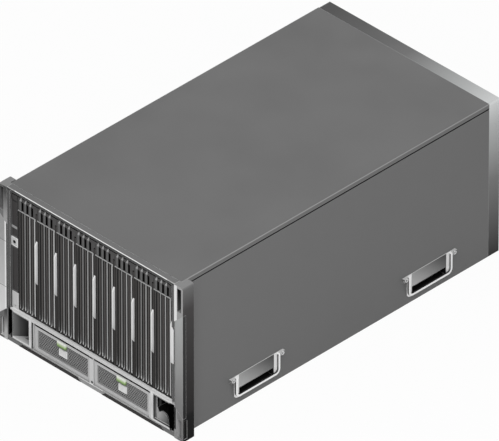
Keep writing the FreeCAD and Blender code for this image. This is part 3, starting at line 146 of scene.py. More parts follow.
def make_coat_grain():
    """Fine flecks of a sprayed or moulded skin, and broad faint clouds over them."""
    tree, given, gives = new_effect(
        "coat_grain",
        (("Fleck", "NodeSocketFloat", 1400.0), ("Cloud", "NodeSocketFloat", 7.0)),
        ("Fleck", "Cloud"))
    spot = tree.nodes.new("ShaderNodeTexCoord").outputs["Object"]
    for label, detail in (("Fleck", 2.0), ("Cloud", 4.0)):
        noise = place_node(tree, "ShaderNodeTexNoise", Vector=spot, Scale=given[label],
                           Detail=detail)
        feed(tree, gives[label], spread(tree, noise.outputs["Fac"], NOISE_LOW, NOISE_HIGH))
    return tree


def make_brushed_lines():
    """Long thin scratches of a brushed or rolled sheet, along the axis with the least count."""
    tree, given, gives = new_effect(
        "brushed_lines", (("Count", "NodeSocketVector", LINE_COUNT),), ("Line",))
    spot = tree.nodes.new("ShaderNodeTexCoord").outputs["Object"]
    run = place_node(tree, "ShaderNodeMapping", Vector=spot, Scale=given["Count"])
    line = place_node(tree, "ShaderNodeTexNoise", Vector=run.outputs["Vector"], Scale=1.0,
                      Detail=3.0)
    feed(tree, gives["Line"], spread(tree, line.outputs["Fac"], NOISE_LOW, NOISE_HIGH))
    return tree


def make_edge_highlight():
    """Painted highlight along edges, broken up so that it isn't even."""
    tree, given, gives = new_effect(
        "edge_highlight", (("Width", "NodeSocketFloat", 0.8 * MM),), ("Edge",))
    rounded = place_node(tree, "ShaderNodeBevel", {"samples": 6}, Radius=given["Width"])
    plain = tree.nodes.new("ShaderNodeNewGeometry").outputs["Normal"]
    dot = place_node(tree, "ShaderNodeVectorMath", {"operation": "DOT_PRODUCT"})
    feed(tree, dot.inputs[0], rounded.outputs["Normal"])
    feed(tree, dot.inputs[1], plain)
    edge = spread(tree, dot.outputs["Value"], FLAT_FACE, SHARP_EDGE)
    spot = tree.nodes.new("ShaderNodeTexCoord").outputs["Object"]
    patch = place_node(tree, "ShaderNodeTexNoise", Vector=spot, Scale=60.0, Detail=3.0)
    feed(tree, gives["Edge"], arithmetic(
        tree, "MULTIPLY", edge, spread(tree, patch.outputs["Fac"], 0.25, 0.6, 0.45, 1.0)))
    return tree


COAT_GRAIN = make_coat_grain()
BRUSHED_LINES = make_brushed_lines()
EDGE_HIGHLIGHT = make_edge_highlight()


class Finish:
    """One procedural finish: a shader and the patterns that feed it."""

    def __init__(self, name, metallic=0.0, specular=0.5):
        self.material = bpy.data.materials.new(name)
        self.material.use_nodes = True
        self.tree = self.material.node_tree
        self.shader = self.tree.nodes["Principled BSDF"]
        self.shader.inputs["Metallic"].default_value = metallic
        self.shader.inputs["Specular IOR Level"].default_value = specular
        coords = self.tree.nodes.new("ShaderNodeTexCoord")
        self.spot = place_node(self.tree, "ShaderNodeSeparateXYZ", Vector=coords.outputs["Object"])
        self.look = place_node(self.tree, "ShaderNodeSeparateXYZ", Vector=coords.outputs["Normal"])

    def effect(self, group, **numbers):
        return place_node(self.tree, "ShaderNodeGroup", {"node_tree": group}, **numbers).outputs

    def along(self, axis, start, end):
        """0 to 1 from start to end, in millimetres along an axis of the object."""
        return spread(self.tree, self.spot.outputs[axis], start * MM, end * MM)

    def behind(self, start, end):
        """0 to 1 from start to end, in millimetres behind the front of the rack ears."""
        return spread(self.tree, self.spot.outputs["Y"], back(start), back(end))

    def band(self, axis, low, high, soft=0.3):
        """1 between low and high along an axis, in millimetres, fading out over the soft width."""
        return self.both(self.along(axis, low - soft, low), self.along(axis, high + soft, high))

    def beyond(self, start, end):
        """0 to 1 from start to end, in millimetres out from the middle on both sides."""
        return self.either(self.along("X", start, end), self.along("X", -start, -end))

    def on_right(self):
        return self.along("X", -10, 10)

    def facing(self, axis, start, end):
        """0 to 1 as the face turns, from start to end of its normal's part along an axis."""
        return spread(self.tree, self.look.outputs[axis], start, end)

    def upward(self):
        return self.facing("Z", 0.5, 0.9)

    def forward(self):
        return self.facing("Y", -0.5, -0.9)

    def sideways(self):
        return self.either(self.facing("X", 0.4, 0.8), self.facing("X", -0.4, -0.8))

    def repeat(self, axis, start, length):
        """The place along an axis, in metres, brought back into the first of equal lengths."""
        node = place_node(self.tree, "ShaderNodeMath", {"operation": "WRAP"})
        for socket, value in zip(node.inputs, (self.spot.outputs[axis], start + length, start)):
            feed(self.tree, socket, value)
        return node.outputs[0]

    def both(self, first, *others):
        for other in others:
            first = arithmetic(self.tree, "MULTIPLY", first, other)
        return first

    def either(self, first, second):
        return arithmetic(self.tree, "MAXIMUM", first, second)

    def rest(self, mask):
        return arithmetic(self.tree, "SUBTRACT", 1.0, mask)

    def mix(self, mask, under, over):
        node = place_node(self.tree, "ShaderNodeMix", {"data_type": "RGBA"})
        colour_sockets = (node.inputs[0], node.inputs[6], node.inputs[7])
        for socket, value in zip(colour_sockets, (mask, under, over)):
            feed(self.tree, socket, value)
        return node.outputs[2]

    def layers(self, shade, *coats):
        """Lay tones over a shade, each a (mask, tone); the last one lies on top."""
        for mask, over in coats:
            shade = self.mix(mask, shade, over)
        return shade

    def ramp(self, value, *stops):
        """Tones along a value, each a place and its shades; the two ends come first."""
        node = place_node(self.tree, "ShaderNodeValToRGB", Fac=value)
        row = node.color_ramp.elements
        for number, (place, *shades) in enumerate(stops):
            stop = row[number] if number < 2 else row.new(place)
            stop.position = place
            stop.color = tone(*shades)
        return node.outputs["Color"]

    def flecked(self, colour, fleck, amount):
        """Darken a colour a little where the grain is low."""
        return self.mix(spread(self.tree, fleck, 0.0, 1.0, amount, 0.0), colour, tone(0))

    def paint(self, colour):
        feed(self.tree, self.shader.inputs["Base Color"], colour)

    def gloss(self, mask, low, high):
        feed(self.tree, self.shader.inputs["Roughness"],
             spread(self.tree, mask, 0.0, 1.0, low, high))

    def relief(self, height, strength, depth):
        bump = place_node(self.tree, "ShaderNodeBump", Height=height, Strength=strength,
                          Distance=depth)
        feed(self.tree, self.shader.inputs["Normal"], bump.outputs["Normal"])


CLOUD_SHARE = 0.5
FLECK_RELIEF, FLECK_DEEP = 0.5, 0.04 * MM
LINE_RELIEF, LINE_DEEP = 0.4, 0.02 * MM


def coated(name, colour, specular=0.3, fleck=1400.0, gloss=(0.45, 0.62), highlight=None,
           width=0.8 * MM, amount=0.10):
    """Finish of a sprayed sheet or a moulding: grain, faint clouds and a painted highlight along
    the edges.
    """
    finish = Finish(name, specular=specular)
    shade = colour(finish) if callable(colour) else colour
    grain = finish.effect(COAT_GRAIN, Fleck=fleck)
    shade = finish.flecked(shade, grain["Fleck"], amount)
    shade = finish.flecked(shade, grain["Cloud"], amount * CLOUD_SHARE)
    if highlight is not None:
        # Painted highlight along the edges, in the tone given for it.
        shade = finish.mix(finish.effect(EDGE_HIGHLIGHT, Width=width)["Edge"], shade, highlight)
    finish.paint(shade)
    finish.gloss(grain["Cloud"], *gloss)
    finish.relief(grain["Fleck"], FLECK_RELIEF, FLECK_DEEP)
    return finish.material


def rolled(name, dark, light, metallic=0.85, count=LINE_COUNT):
    """Finish of bare sheet metal: brushed lines and faint clouds."""
    finish = Finish(name, metallic=metallic)
    line = finish.effect(BRUSHED_LINES, Count=count)["Line"]
    grain = finish.effect(COAT_GRAIN, Cloud=18.0)
    finish.paint(finish.flecked(finish.mix(line, dark, light), grain["Cloud"], 0.12))
    finish.gloss(line, 0.28, 0.48)
    finish.relief(line, LINE_RELIEF, LINE_DEEP)
    return finish.material


# ---------------- colours of the CAD pieces

def body_colour(finish):
    """Painted sheet with a painted highlight along the cover's fold, the top a little darker as
    painted shade, and painted black shade in the seam under its flange.
    """
    fold_highlight = finish.both(finish.facing("Z", 0.15, 0.45), finish.facing("Z", 0.97, 0.75))
    seam = finish.both(finish.sideways(), finish.band("Z", 333.2, 336.0))
    # Painted shade: the top a little darker than the sides; painted highlight on the fold; painted
    # black shade in the seam.
    return finish.layers(tone(109), (finish.facing("Z", 0.97, 0.99), tone(100)),
                         (fold_highlight, tone(148)), (seam, tone(2)))


def rear_ring_colour(finish):
    """A painted reflection that grows to the upper right, painted darker on the top than on the
    sides.
    """
    inset = 18
    across = finish.along("X", inset - HALF_WIDE, HALF_WIDE - inset)
    shine = finish.both(across, finish.along("Z", 0, TALL))
    sides = finish.ramp(shine, (0.0, 30, 29, 29), (1.0, 226, 228, 228), (0.5, 122),
                        (0.85, 186, 188, 188))
    # The top is painted darker than the sides, against the stronger light on it.
    top = finish.ramp(shine, (0.0, 26, 25, 25), (1.0, 214, 216, 216), (0.5, 97),
                      (0.85, 182, 184, 184))
    return finish.mix(finish.upward(), sides, top)


def left_ear_colour(finish, height, wall):
    """Grey front; channels painted pale against their shade; the low inner rim painted darker
    upwards as shade; a painted highlight line on the lower channel's wall; painted shade deepening
    into the gap at the inner side.
    """
    inner = finish.along("X", -227.4, -226.8)
    low_part = finish.along("Z", 68, 62)
    deep_wall = finish.both(wall, finish.behind(4.0, 5.2))
    hollow = finish.ramp(height, (0.0, 150), (1.0, 74), (0.09, 142), (0.17, 72), (0.80, 172),
                         (0.96, 80))
    rim = finish.ramp(finish.along("Z", 0, 68), (0.0, 200), (1.0, 60), (0.30, 188), (0.60, 140),
                      (0.74, 106))
    line = finish.both(low_part, wall, finish.behind(2.9, 3.2), finish.behind(6.1, 5.8))
    inner_side = finish.both(wall, finish.along("X", -219.4, -219.0), finish.along("Z", 84, 78))
    # Painted light and shade: the pale channels, the rim's run up its height, the white line and
    # the dark inner side.
    return finish.layers(
        finish.ramp(height, (0.0, 112), (1.0, 106), (0.8, 124)),
        (finish.either(inner, deep_wall), hollow),
        (finish.both(low_part, inner, finish.forward()), rim),
        (finish.both(low_part, wall, finish.behind(5.8, 6.2)), rim),
        (line, tone(255)),
        (inner_side, finish.ramp(finish.behind(0, 6), (0.0, 150), (1.0, 8), (0.6, 120))))


def right_ear_colour(finish, height, wall):
    """Front, inner strip and slots painted with light and shade up their height, the front and
    strip lighter upwards and the slots darker upwards, and painted black shade on the edge beside
    the corner pocket.
    """
    strip = finish.ramp(height, (0.0, 152), (1.0, 240), (0.20, 156), (0.72, 244))
    slot = finish.ramp(height, (0.0, 190), (1.0, 8), (0.20, 186), (0.82, 92), (0.93, 44))
    edge = finish.both(finish.along("X", 222.8, 222.2), finish.band("Z", 21, 70), finish.forward())
    # Painted light and shade up the height of front, strip and slots; painted black shade on the
    # edge.
    return finish.layers(
        finish.ramp(height, (0.0, 122), (1.0, 168), (0.17, 130), (0.82, 165)),
        (finish.along("X", 226.2, 225.7), strip), (wall, slot), (edge, tone(8)))


def ear_colour(finish):
    """The fronts of both ears, their dark outer sides that are black low down and lighter upwards,
    and an upward face low on the left one painted white as a highlight.
    """
    height = finish.along("Z", 0, TALL)
    on_right = finish.on_right()
    wall = finish.facing("X", 0.35, 0.75)
    left_wall = finish.facing("X", -0.35, -0.75)
    outside = finish.either(finish.both(wall, finish.along("X", 239.0, 239.6)),
                            finish.both(left_wall, finish.along("X", -239.0, -239.6)))
    sides = finish.ramp(height, (0.0, 10), (1.0, 112), (0.16, 12), (0.18, 34, 32, 32),
                        (0.60, 56, 54, 54), (0.85, 68, 66, 66))
    sill = finish.both(finish.upward(), finish.along("Z", 20, 10), finish.rest(on_right))
    # The upward face low on the left one is painted white as a highlight.
    return finish.layers(
        left_ear_colour(finish, height, wall), (on_right, right_ear_colour(finish, height, wall)),
        (outside, sides), (finish.upward(), tone(138)), (sill, tone(226)))


def grip_colour(finish):
    """The left grip in three pale lengths painted darker upwards as shade, with a painted highlight
    on its inner edge and painted shade past it; the right one painted lighter upwards.
    """
    height = finish.along("Z", 51.7, 283.3)
    on_right = finish.on_right()
    lengths = finish.ramp(height, (0.0, 236), (1.0, 164), (0.29, 224), (0.30, 208), (0.73, 186),
                          (0.74, 174))
    # Painted highlight on the inner edge and painted shade past it.
    left = finish.layers(lengths, (finish.band("X", -224.3, -221.2), tone(255)),
                         (finish.along("X", -221.2, -220.8), tone(86)))
    right = finish.ramp(height, (0.0, 128), (1.0, 180, 182, 182), (0.2, 138), (0.5, 160))
    joint = finish.either(finish.band("Z", 221.6, 222.2), finish.band("Z", 118.6, 119.2))
    outside = finish.both(finish.sideways(), finish.beyond(239.5, 240.2))
    return finish.layers(
        left, (on_right, right), (finish.both(joint, finish.rest(on_right)), tone(92)),
        (outside, finish.ramp(height, (0.0, 24), (1.0, 54))))


def frame_colour(finish):
    """Pale round the supplies, with painted shade in its gaps and recesses, under the shelf, beside
    the pockets and under the top lip, and a painted highlight along the top lip's front.
    """
    front = finish.behind(3.2, 2.2)
    face = finish.both(front, finish.forward())
    lower = finish.mix(finish.beyond(156, 158), tone(216), tone(244))
    foot = finish.mix(finish.beyond(178, 182), tone(158), tone(118))
    inside = finish.both(finish.behind(3.0, 6.0), finish.along("Z", 78, 77),
                         finish.facing("Z", 0.8, 0.4))
    recess = finish.both(finish.along("Z", 8.2, 7.8), finish.behind(1.8, 2.4))
    column = finish.both(face, finish.band("Z", 12.5, 70.0), finish.band("X", -156.8, -151.4))
    gap_and_edge = finish.mix(finish.along("X", -154.2, -153.8), tone(18), tone(116))
    under_shelf = finish.both(face, finish.band("Z", 67.2, 70.4), finish.band("X", -156.8, 154.0))
    sill = finish.both(face, finish.band("Z", 8.5, 11.2), finish.band("X", -34, 30))
    beside_pocket = finish.both(finish.beyond(205.4, 205.8), finish.band("Z", 14.0, 72.2))
    shelf_end = finish.both(finish.along("X", -208.0, -208.6), finish.band("Z", 72.2, 84.0))
    post = finish.both(finish.beyond(210.5, 211.2), finish.along("Z", 70, 80))
    lip = finish.along("Z", 344.6, 345.0)
    middle = finish.both(finish.along("X", -199.5, -198.5), finish.along("X", 199.5, 198.5))
    # Painted shade: inside, recess, the column's gap, under the shelf, beside the pockets, the
    # shelf's end and the band under the lip; painted highlight on the lip's front.
    return finish.layers(
        lower, (finish.along("Z", 200, 220), tone(90)), (finish.along("Z", 12.5, 11.0), foot),
        (inside, tone(26)), (recess, tone(40)), (column, gap_and_edge), (under_shelf, tone(22)),
        (sill, tone(252)), (beside_pocket, tone(12)), (shelf_end, tone(30)), (post, tone(86)),
        (finish.band("Z", 340.6, 344.6), tone(54)), (lip, tone(104)),
        (finish.both(lip, front), finish.mix(middle, tone(172), tone(250))))


def strip_colour(finish):
    return finish.layers(
        tone(92), (finish.band("Z", 258.6, 263.6), tone(158)),
        (finish.along("Z", 320.2, 320.6), tone(62, 60, 60)),
        (finish.along("X", -196.4, -196.0), tone(34)))


def window_colour(finish):
    return finish.mix(finish.along("Z", 318.0, 318.8), tone(58, 56, 56), tone(10))


def pocket_colour(finish):
    """Pale rims round hollows painted darker with depth as shade; the right hollow has painted
    bands of light and shade down its wall, and the outer rims are painted black as shade.
    """
    depth = finish.behind(0, 50)
    on_right = finish.on_right()
    floor = finish.facing("Z", 0.10, 0.25)
    left_wall = finish.ramp(depth, (0.0, 120), (1.0, 10), (0.22, 66), (0.42, 14))
    left_floor = finish.ramp(depth, (0.0, 214), (1.0, 70), (0.25, 176), (0.7, 112))
    right_wall = finish.ramp(depth, (0.0, 58), (1.0, 6), (0.09, 62), (0.11, 112), (0.17, 110),
                             (0.20, 206), (0.24, 206), (0.26, 6), (0.33, 6), (0.35, 108),
                             (0.44, 102), (0.46, 6))
    right_floor = finish.ramp(depth, (0.0, 76), (1.0, 6), (0.10, 76), (0.105, 206), (0.13, 206),
                              (0.135, 120), (0.24, 84), (0.26, 6))
    scoop = finish.ramp(finish.along("X", 163, 199), (0.0, 182), (1.0, 70), (0.45, 130))
    scoop_face = finish.both(finish.facing("Y", -0.93, -0.99), finish.behind(10.0, 11.5), on_right)
    # Painted shade deepening into the hollows, with painted bands of light and shade on the right
    # wall and scoop.
    hollow = finish.layers(
        finish.mix(floor, left_wall, left_floor),
        (on_right, finish.mix(floor, right_wall, right_floor)), (scoop_face, scoop))
    rim = finish.ramp(finish.along("Z", 11, 78), (0.0, 222), (1.0, 214), (0.06, 236), (0.5, 216),
                      (0.93, 240))
    outer_rim = finish.both(finish.beyond(205.6, 206.2), finish.along("Z", 73.5, 72.5))
    return finish.layers(rim, (finish.behind(1.0, 1.8), hollow), (outer_rim, tone(12)))


def bezel_colour(finish):
    """Dark bands between fins and grey louvre ribs, alike on each module; the fins, their feet and
    the rib tips carry painted highlights, and the grooves, the band under the lip and the air slots
    painted shade.
    """
    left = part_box("module_1_bezel")[0].x
    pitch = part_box("module_2_bezel")[0].x - left
    across_module, across_fin = (
        spread(finish.tree, finish.repeat("X", left, wide), left, left + wide)
        for wide in (pitch, pitch / 4))
    bands = finish.ramp(across_fin, (0.0, 50, 48, 47), (1.0, 52, 50, 49), (0.12, 62, 60, 59),
                        (0.20, 30), (0.56, 26), (0.68, 28), (0.72, 54, 52, 51),
                        (0.92, 62, 61, 60))
    blade_highlight = finish.ramp(across_module, (0.0, 132), (1.0, 192), (0.40, 138), (0.62, 166),
                        (0.84, 192))
    upper = finish.along("Z", 305.0, 305.6)
    fin_highlight = finish.mix(finish.along("Z", 95, 88), blade_highlight, tone(205))
    rib = finish.mix(finish.along("Z", 326.2, 329.0), tone(104), tone(172))
    rib_flank = finish.both(finish.facing("X", 0.5, 0.9), finish.band("Z", 305.6, 327.5))
    sunk, proud = finish.behind(6.1, 6.7), finish.behind(5.3, 4.9)
    # Painted highlights on the fins and rib tips; painted shade in the grooves, under the lip, in
    # the slots and on the rib flanks.
    return finish.layers(
        bands, (upper, tone(84, 83, 83)), (finish.band("Z", 298.2, 303.0), tone(38)),
        (sunk, finish.mix(upper, tone(24), tone(4))), (proud, finish.mix(upper, fin_highlight, rib)),
        (rib_flank, tone(5)))


def lever_colour(finish):
    white = finish.ramp(finish.along("Z", 158, 262), (0.0, 206), (1.0, 240), (0.25, 232))
    return finish.mix(finish.along("Z", 255.2, 256.2), white, tone(60, 58, 57))


def plate_colour(finish):
    """Handle recesses painted darker to the back as shade, with white cheeks, upward sills painted
    pale as lit, and painted black shade inside.
    """
    low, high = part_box("right_front_handle")
    middle = (low.y + high.y) / 2
    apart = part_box("right_rear_handle")[0].y - low.y
    reach = 45.0 * MM
    along = finish.repeat("Y", middle - apart / 2, apart)
    off = arithmetic(finish.tree, "ABSOLUTE", arithmetic(finish.tree, "SUBTRACT", along, middle))
    run = spread(finish.tree, along, middle - reach, middle + reach, 0.0, 0.72)
    rise = spread(finish.tree, finish.spot.outputs["Z"], 34.0 * MM, 62.0 * MM, 0.0, 0.28)
    # Painted shade: darker towards the back of the recess.
    shade = finish.ramp(arithmetic(finish.tree, "ADD", run, rise), (0.0, 192), (1.0, 66),
                        (0.45, 146), (0.75, 104))
    cheek = spread(finish.tree, off, 45.2 * MM, 46.2 * MM)
    lug = spread(finish.tree, off, 57.6 * MM, 58.2 * MM)
    inside = finish.rest(finish.beyond(223.4, 223.8))
    # Upward faces painted pale as lit; the inside painted black as shade.
    return finish.layers(shade, (cheek, tone(252)), (lug, tone(112)),
                         (finish.upward(), tone(206)), (inside, tone(8)))


def bail_colour(finish):
    bar_top = finish.both(finish.facing("Z", 0.4, 0.8), finish.along("Z", 30, 26))
    # Painted light and shade by facing: white, darker on front faces, darker still on the bar's
    # top.
    return finish.layers(tone(255), (finish.facing("Y", -0.4, -0.8), tone(84)),
                         (bar_top, tone(40)))


def latch_colour(finish):
    # Painted light: green darker at the bottom, lighter upwards to a near-white highlight at the
    # top.
    return finish.ramp(finish.along("Z", 51.3, 63.3), (0.0, 96, 124, 66), (1.0, 240, 242, 236),
                       (0.28, 134, 166, 100), (0.50, 184, 208, 156), (0.75, 228, 234, 220))


def supply_colour(finish):
    # Painted shade: darker towards the back, and black on the top faces under the shelf.
    shade = finish.ramp(finish.behind(4.6, 12.0), (0.0, 206), (1.0, 120))
    top = finish.both(finish.upward(), finish.along("Z", 50, 60))
    return finish.mix(top, shade, tone(14))


def tray_colour(finish):
    """Bare sheet and the green board on it, told apart by their place in the tray."""
    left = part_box("module_1_tray")[0].x
    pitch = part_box("module_2_tray")[0].x - left
    across = finish.repeat("X", left - 0.5 * MM, pitch)
    on_board = finish.both(spread(finish.tree, across, left + 1.2 * MM, left + 1.3 * MM),
                           spread(finish.tree, across, left + 3.2 * MM, left + 3.1 * MM))
    inside = finish.both(finish.along("Z", 81.5, 82.0), finish.along("Z", 329.5, 329.0))
    return finish.mix(finish.both(on_board, inside), tone(168, 170, 172), BOARD_GREEN)


# ---------------- finishes

BOARD_GREEN = tone(34, 84, 58)
FINISHES = {
    # Each tone given for the edges below is a painted highlight along them.
    "body_grey": coated("painted_steel", body_colour, highlight=tone(150), amount=0.04),
    "frame_grey": coated("frame_moulding", frame_colour, highlight=tone(248), amount=0.05),
    "ear_grey": coated("ear_casting", ear_colour, specular=0.12, highlight=tone(188)),
    "grip_light": coated("grip_moulding", grip_colour, specular=0.15, highlight=tone(215),
                         width=0.6 * MM),
    "strip_grey": coated("strip_moulding", strip_colour, highlight=tone(128), width=0.5 * MM),
    "window_dark": coated("smoked_window", window_colour, specular=0.15, gloss=(0.25, 0.35),
                          amount=0.06),
    "foot_light": coated("foot_moulding", tone(208), highlight=tone(240)),
    "button_light": coated("button_cap", tone(206), highlight=tone(236)),
    "pocket_light": coated("pocket_moulding", pocket_colour, highlight=tone(225), width=0.5 * MM),
    "bezel_dark": coated("bezel_moulding", bezel_colour, specular=0.10),
    "lever_white": coated("lever_moulding", lever_colour, amount=0.05),
    "tray_metal": coated("tray_sheet", tray_colour, specular=0.6, fleck=700.0, gloss=(0.3, 0.45)),
    "guide_metal": rolled("guide_sheet", tone(150), tone(182)),
    "board_green": coated("board_laminate", BOARD_GREEN, fleck=500.0),
    "psu_frame": coated("supply_sheet", supply_colour, highlight=tone(214), width=1.0 * MM),
    "grille_dark": coated("grille_sheet", tone(150), highlight=tone(190), width=0.3 * MM),
    "latch_green": coated("touch_latch", latch_colour, amount=0.06),
    "runner_dark": rolled("runner_sheet", tone(70), tone(96), metallic=0.6),
    "socket_metal": coated("handle_plate", plate_colour, highlight=tone(236), width=0.6 * MM),
    "bail_steel": coated("bail_rod", bail_colour, specular=0.5, gloss=(0.30, 0.42), amount=0.03),
    "fan_black": coated("fan_moulding", tone(36), highlight=tone(70)),
    "rear_silver": coated("rear_ring", rear_ring_colour, specular=0.4, highlight=tone(215)),
    "rear_panel_grey": coated("rear_sheet", tone(120), highlight=tone(160)),
    "cover_zinc": rolled("zinc_covers", tone(160), tone(196), count=(900.0, 900.0, 40.0)),
    "port_black": coated("port_moulding", tone(32), highlight=tone(60)),
    "inlet_black": coated("inlet_moulding", tone(28), highlight=tone(60)),
}
for row in frame["record"]["subparts"]:
    node = frame["nodes"][row["node"]]
    node.data.materials.clear()
    node.data.materials.append(FINISHES[row["material_slot"]])


def ridge_colour(finish):
    # Painted highlight: the curled feet pale, darker up the ridge.
    return finish.ramp(finish.along("Z", 86, 110), (0.0, 176), (1.0, 96, 94, 93), (0.35, 120))


def hump_colour(finish):
    # Painted light and shade: pale on the left, darker to the right.
    return finish.ramp(finish.along("X", 165, 197), (0.0, 200), (1.0, 74), (0.45, 150))


# Black standing for shade, used where only shade is seen.
SHADE_BLACK = coated("vent_shade", tone(5), specular=0.0)
PULL = coated("pull_moulding", tone(232), highlight=tone(250), amount=0.05)
# Pale as a painted highlight on the lip across each module.
SEAM = coated("seam_lip", tone(172), highlight=tone(206), width=0.4 * MM)
RIDGE = coated("ridge_moulding", ridge_colour, specular=0.1)
HUMP = coated("hump_moulding", hump_colour, highlight=tone(214))
# Dark grey standing for the shade in the recesses of the bottom edge.
RECESS_SHADE = coated("recess_shade", tone(58, 56, 56), specular=0.15, amount=0.08)
EYELET = coated("eyelet_steel", tone(246), specular=0.5, highlight=tone(255), amount=0.04)


# ---------------- modelling helpers

PLATE_ROUND = 0.2 * MM
HEAD_WALL, HEAD_SLOPE = 0.6, 0.22
SOCKET_MARGIN, SOCKET_DEEP = 0.34, 0.6


def settle(bm, name, body, slot, finish=None):
    """Turn a finished shape into a piece that rides on a body with a finish."""
    mesh = bpy.data.meshes.new(name)
    bm.to_mesh(mesh)
    bm.free()
    piece = bpy.data.objects.new(name, mesh)
    bpy.context.scene.collection.objects.link(piece)
    mesh.materials.append(finish or FINISHES[slot])
    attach(piece, body)
    return piece


def everything(bm):
    return bm.verts[:] + bm.edges[:] + bm.faces[:]


def bevel_edges(bm, edges, width, segments=2):
    bmesh.ops.bevel(bm, geom=edges, offset=width, offset_type="OFFSET", affect="EDGES",
                    segments=segments, profile=0.5, material=-1, clamp_overlap=True)


def rounded_block(bm, low, high, width, segments=2):
    """A block between two corners with its edges rounded."""
    low, high = Vector(low), Vector(high)
    size = high - low
    made = bmesh.ops.create_cube(
        bm, size=1.0, matrix=Matrix.Translation((low + high) / 2) @ Matrix.Diagonal((*size, 1.0)))
    edges = list({edge for vert in made["verts"] for edge in vert.link_edges})
    bevel_edges(bm, edges, width, segments)


def thicken(bm, thick):
    """Give a flat shape its thickness and turn its faces outward."""
    bmesh.ops.solidify(bm, geom=bm.faces[:], thickness=thick)
    bmesh.ops.recalc_face_normals(bm, faces=bm.faces[:])


def cut_off(bm, point, away, near=0.01 * MM):
    """Cut away what lies past a plane."""
    bmesh.ops.bisect_plane(bm, geom=everything(bm), dist=near, plane_co=point, plane_no=away,
                           clear_outer=True)


def close_up(bm):
    """Fill the open ends of a shape and turn its faces outward."""
    bmesh.ops.holes_fill(bm, edges=[edge for edge in bm.edges if edge.is_boundary], sides=0)
    bmesh.ops.recalc_face_normals(bm, faces=bm.faces[:])


def sunk_face(bm, face, margin, depth):
    """Inset a face and push the inner part along its normal."""
    bmesh.ops.inset_region(bm, faces=[face], thickness=margin, use_even_offset=True)
    normal = face.normal.copy()
    bmesh.ops.translate(bm, verts=list(face.verts), vec=normal * depth)
    return face


def disc(bm, place, turn, radius, segments):
    """A capped circle, facing along the turned Z axis."""
    made = bmesh.ops.create_circle(bm, cap_ends=True, segments=segments, radius=radius,
                                   matrix=Matrix.Translation(place) @ turn)
    return made["verts"][0].link_faces[0]


def sheet(bm, place, turn, wide, tall):
    """A flat rectangle, facing along the turned Z axis."""
    made = bmesh.ops.create_grid(
        bm, x_segments=1, y_segments=1, size=0.5,
        matrix=Matrix.Translation(place) @ turn @ Matrix.Diagonal((wide, tall, 1.0, 1.0)))
    return made["verts"][0].link_faces[0]


def raised(bm, face, height):
    """Lift a face off its place and close the wall behind it; returns the lifted face."""
    normal = face.normal.copy()
    made = bmesh.ops.extrude_face_region(bm, geom=[face], use_keep_orig=True)
    lifted = [part for part in made["geom"] if isinstance(part, bmesh.types.BMFace)][0]
    bmesh.ops.translate(bm, verts=list(lifted.verts), vec=normal * height)
    bmesh.ops.reverse_faces(bm, faces=[face])
    bm.normal_update()
    return lifted


def flat_ring(bm, middle, wide, tall, margin, thick):
    """A flat rectangular ring that faces the front; the margin is its width."""
    inner = sheet(bm, middle, TO_FRONT, wide, tall)
    bm.normal_update()
    made = bmesh.ops.inset_individual(bm, faces=[inner], thickness=margin, use_even_offset=True)
    bmesh.ops.delete(bm, geom=[inner], context="FACES")
    bmesh.ops.solidify(bm, geom=made["faces"], thickness=thick)


def screw_head(bm, place, turn, radius, height):
    """A screw head with a sloped shoulder and a sunk middle."""
    top = raised(bm, disc(bm, place, turn, radius, 12), height * HEAD_WALL)
    top = sunk_face(bm, top, radius * HEAD_SLOPE, height * (1 - HEAD_WALL))
    bm.normal_update()
    sunk_face(bm, top, radius * SOCKET_MARGIN, -height * SOCKET_DEEP)


# ---------------- power supplies

CELL = 4.7 * MM
CELL_WALL = 1.1 * MM
MESH_FRONT = back(6.3)
MESH_THICK = 0.9 * MM
MESH_RIM = 1.6 * MM
MESH_LAP = 0.2 * MM
BACKING_HALF = 12.4 * MM
BACKING_LAP = 1.0 * MM
BACKING_FRONT, BACKING_REAR = back(7.4), back(8.1)
INSIDE_FRONT, INSIDE_REAR = back(8.3), back(8.9)
INSIDE_MARGIN = 0.6 * MM
PULL_HALF = 10.8 * MM
PULL_LOW, PULL_TOP = 28.8 * MM, 44.8 * MM
PULL_FRONT, PULL_REAR = back(4.4), back(7.6)
PULL_ROUND = 1.5 * MM
DISH_MARGIN, DISH_DEEP = 1.4 * MM, 0.5 * MM


def copied(bm, geom, step):
    """Copy part of a shape and move the copy by a step."""
    copy = bmesh.ops.duplicate(bm, geom=geom)["geom"]
    bmesh.ops.translate(bm, vec=step,
                        verts=[part for part in copy if isinstance(part, bmesh.types.BMVert)])


def honeycomb(bm, low, high):
    """A sheet of six-sided holes that faces the front, trimmed to a rectangle."""
    corner = CELL / math.sqrt(3)
    rise = corner * 1.5
    hole = disc(bm, low, TO_FRONT, corner, 6)
    bmesh.ops.inset_individual(bm, faces=[hole], thickness=CELL_WALL / 2, use_even_offset=True)
    bmesh.ops.delete(bm, geom=[hole], context="FACES_ONLY")
    cell = everything(bm)
    for column in range(1, math.ceil((high.x - low.x) / CELL) + 1):
        copied(bm, cell, (column * CELL, 0, 0))
    line = everything(bm)
    for row in range(1, math.ceil((high.z - low.z) / rise) + 1):
        copied(bm, line, (-CELL / 2 if row % 2 else 0, 0, row * rise))
    bmesh.ops.remove_doubles(bm, verts=bm.verts[:], dist=CELL_WALL / 20)
    for point, away in ((low, (-1, 0, 0)), (high, (1, 0, 0)), (low, (0, 0, -1)), (high, (0, 0, 1))):
        cut_off(bm, point, away, CELL_WALL / 50)


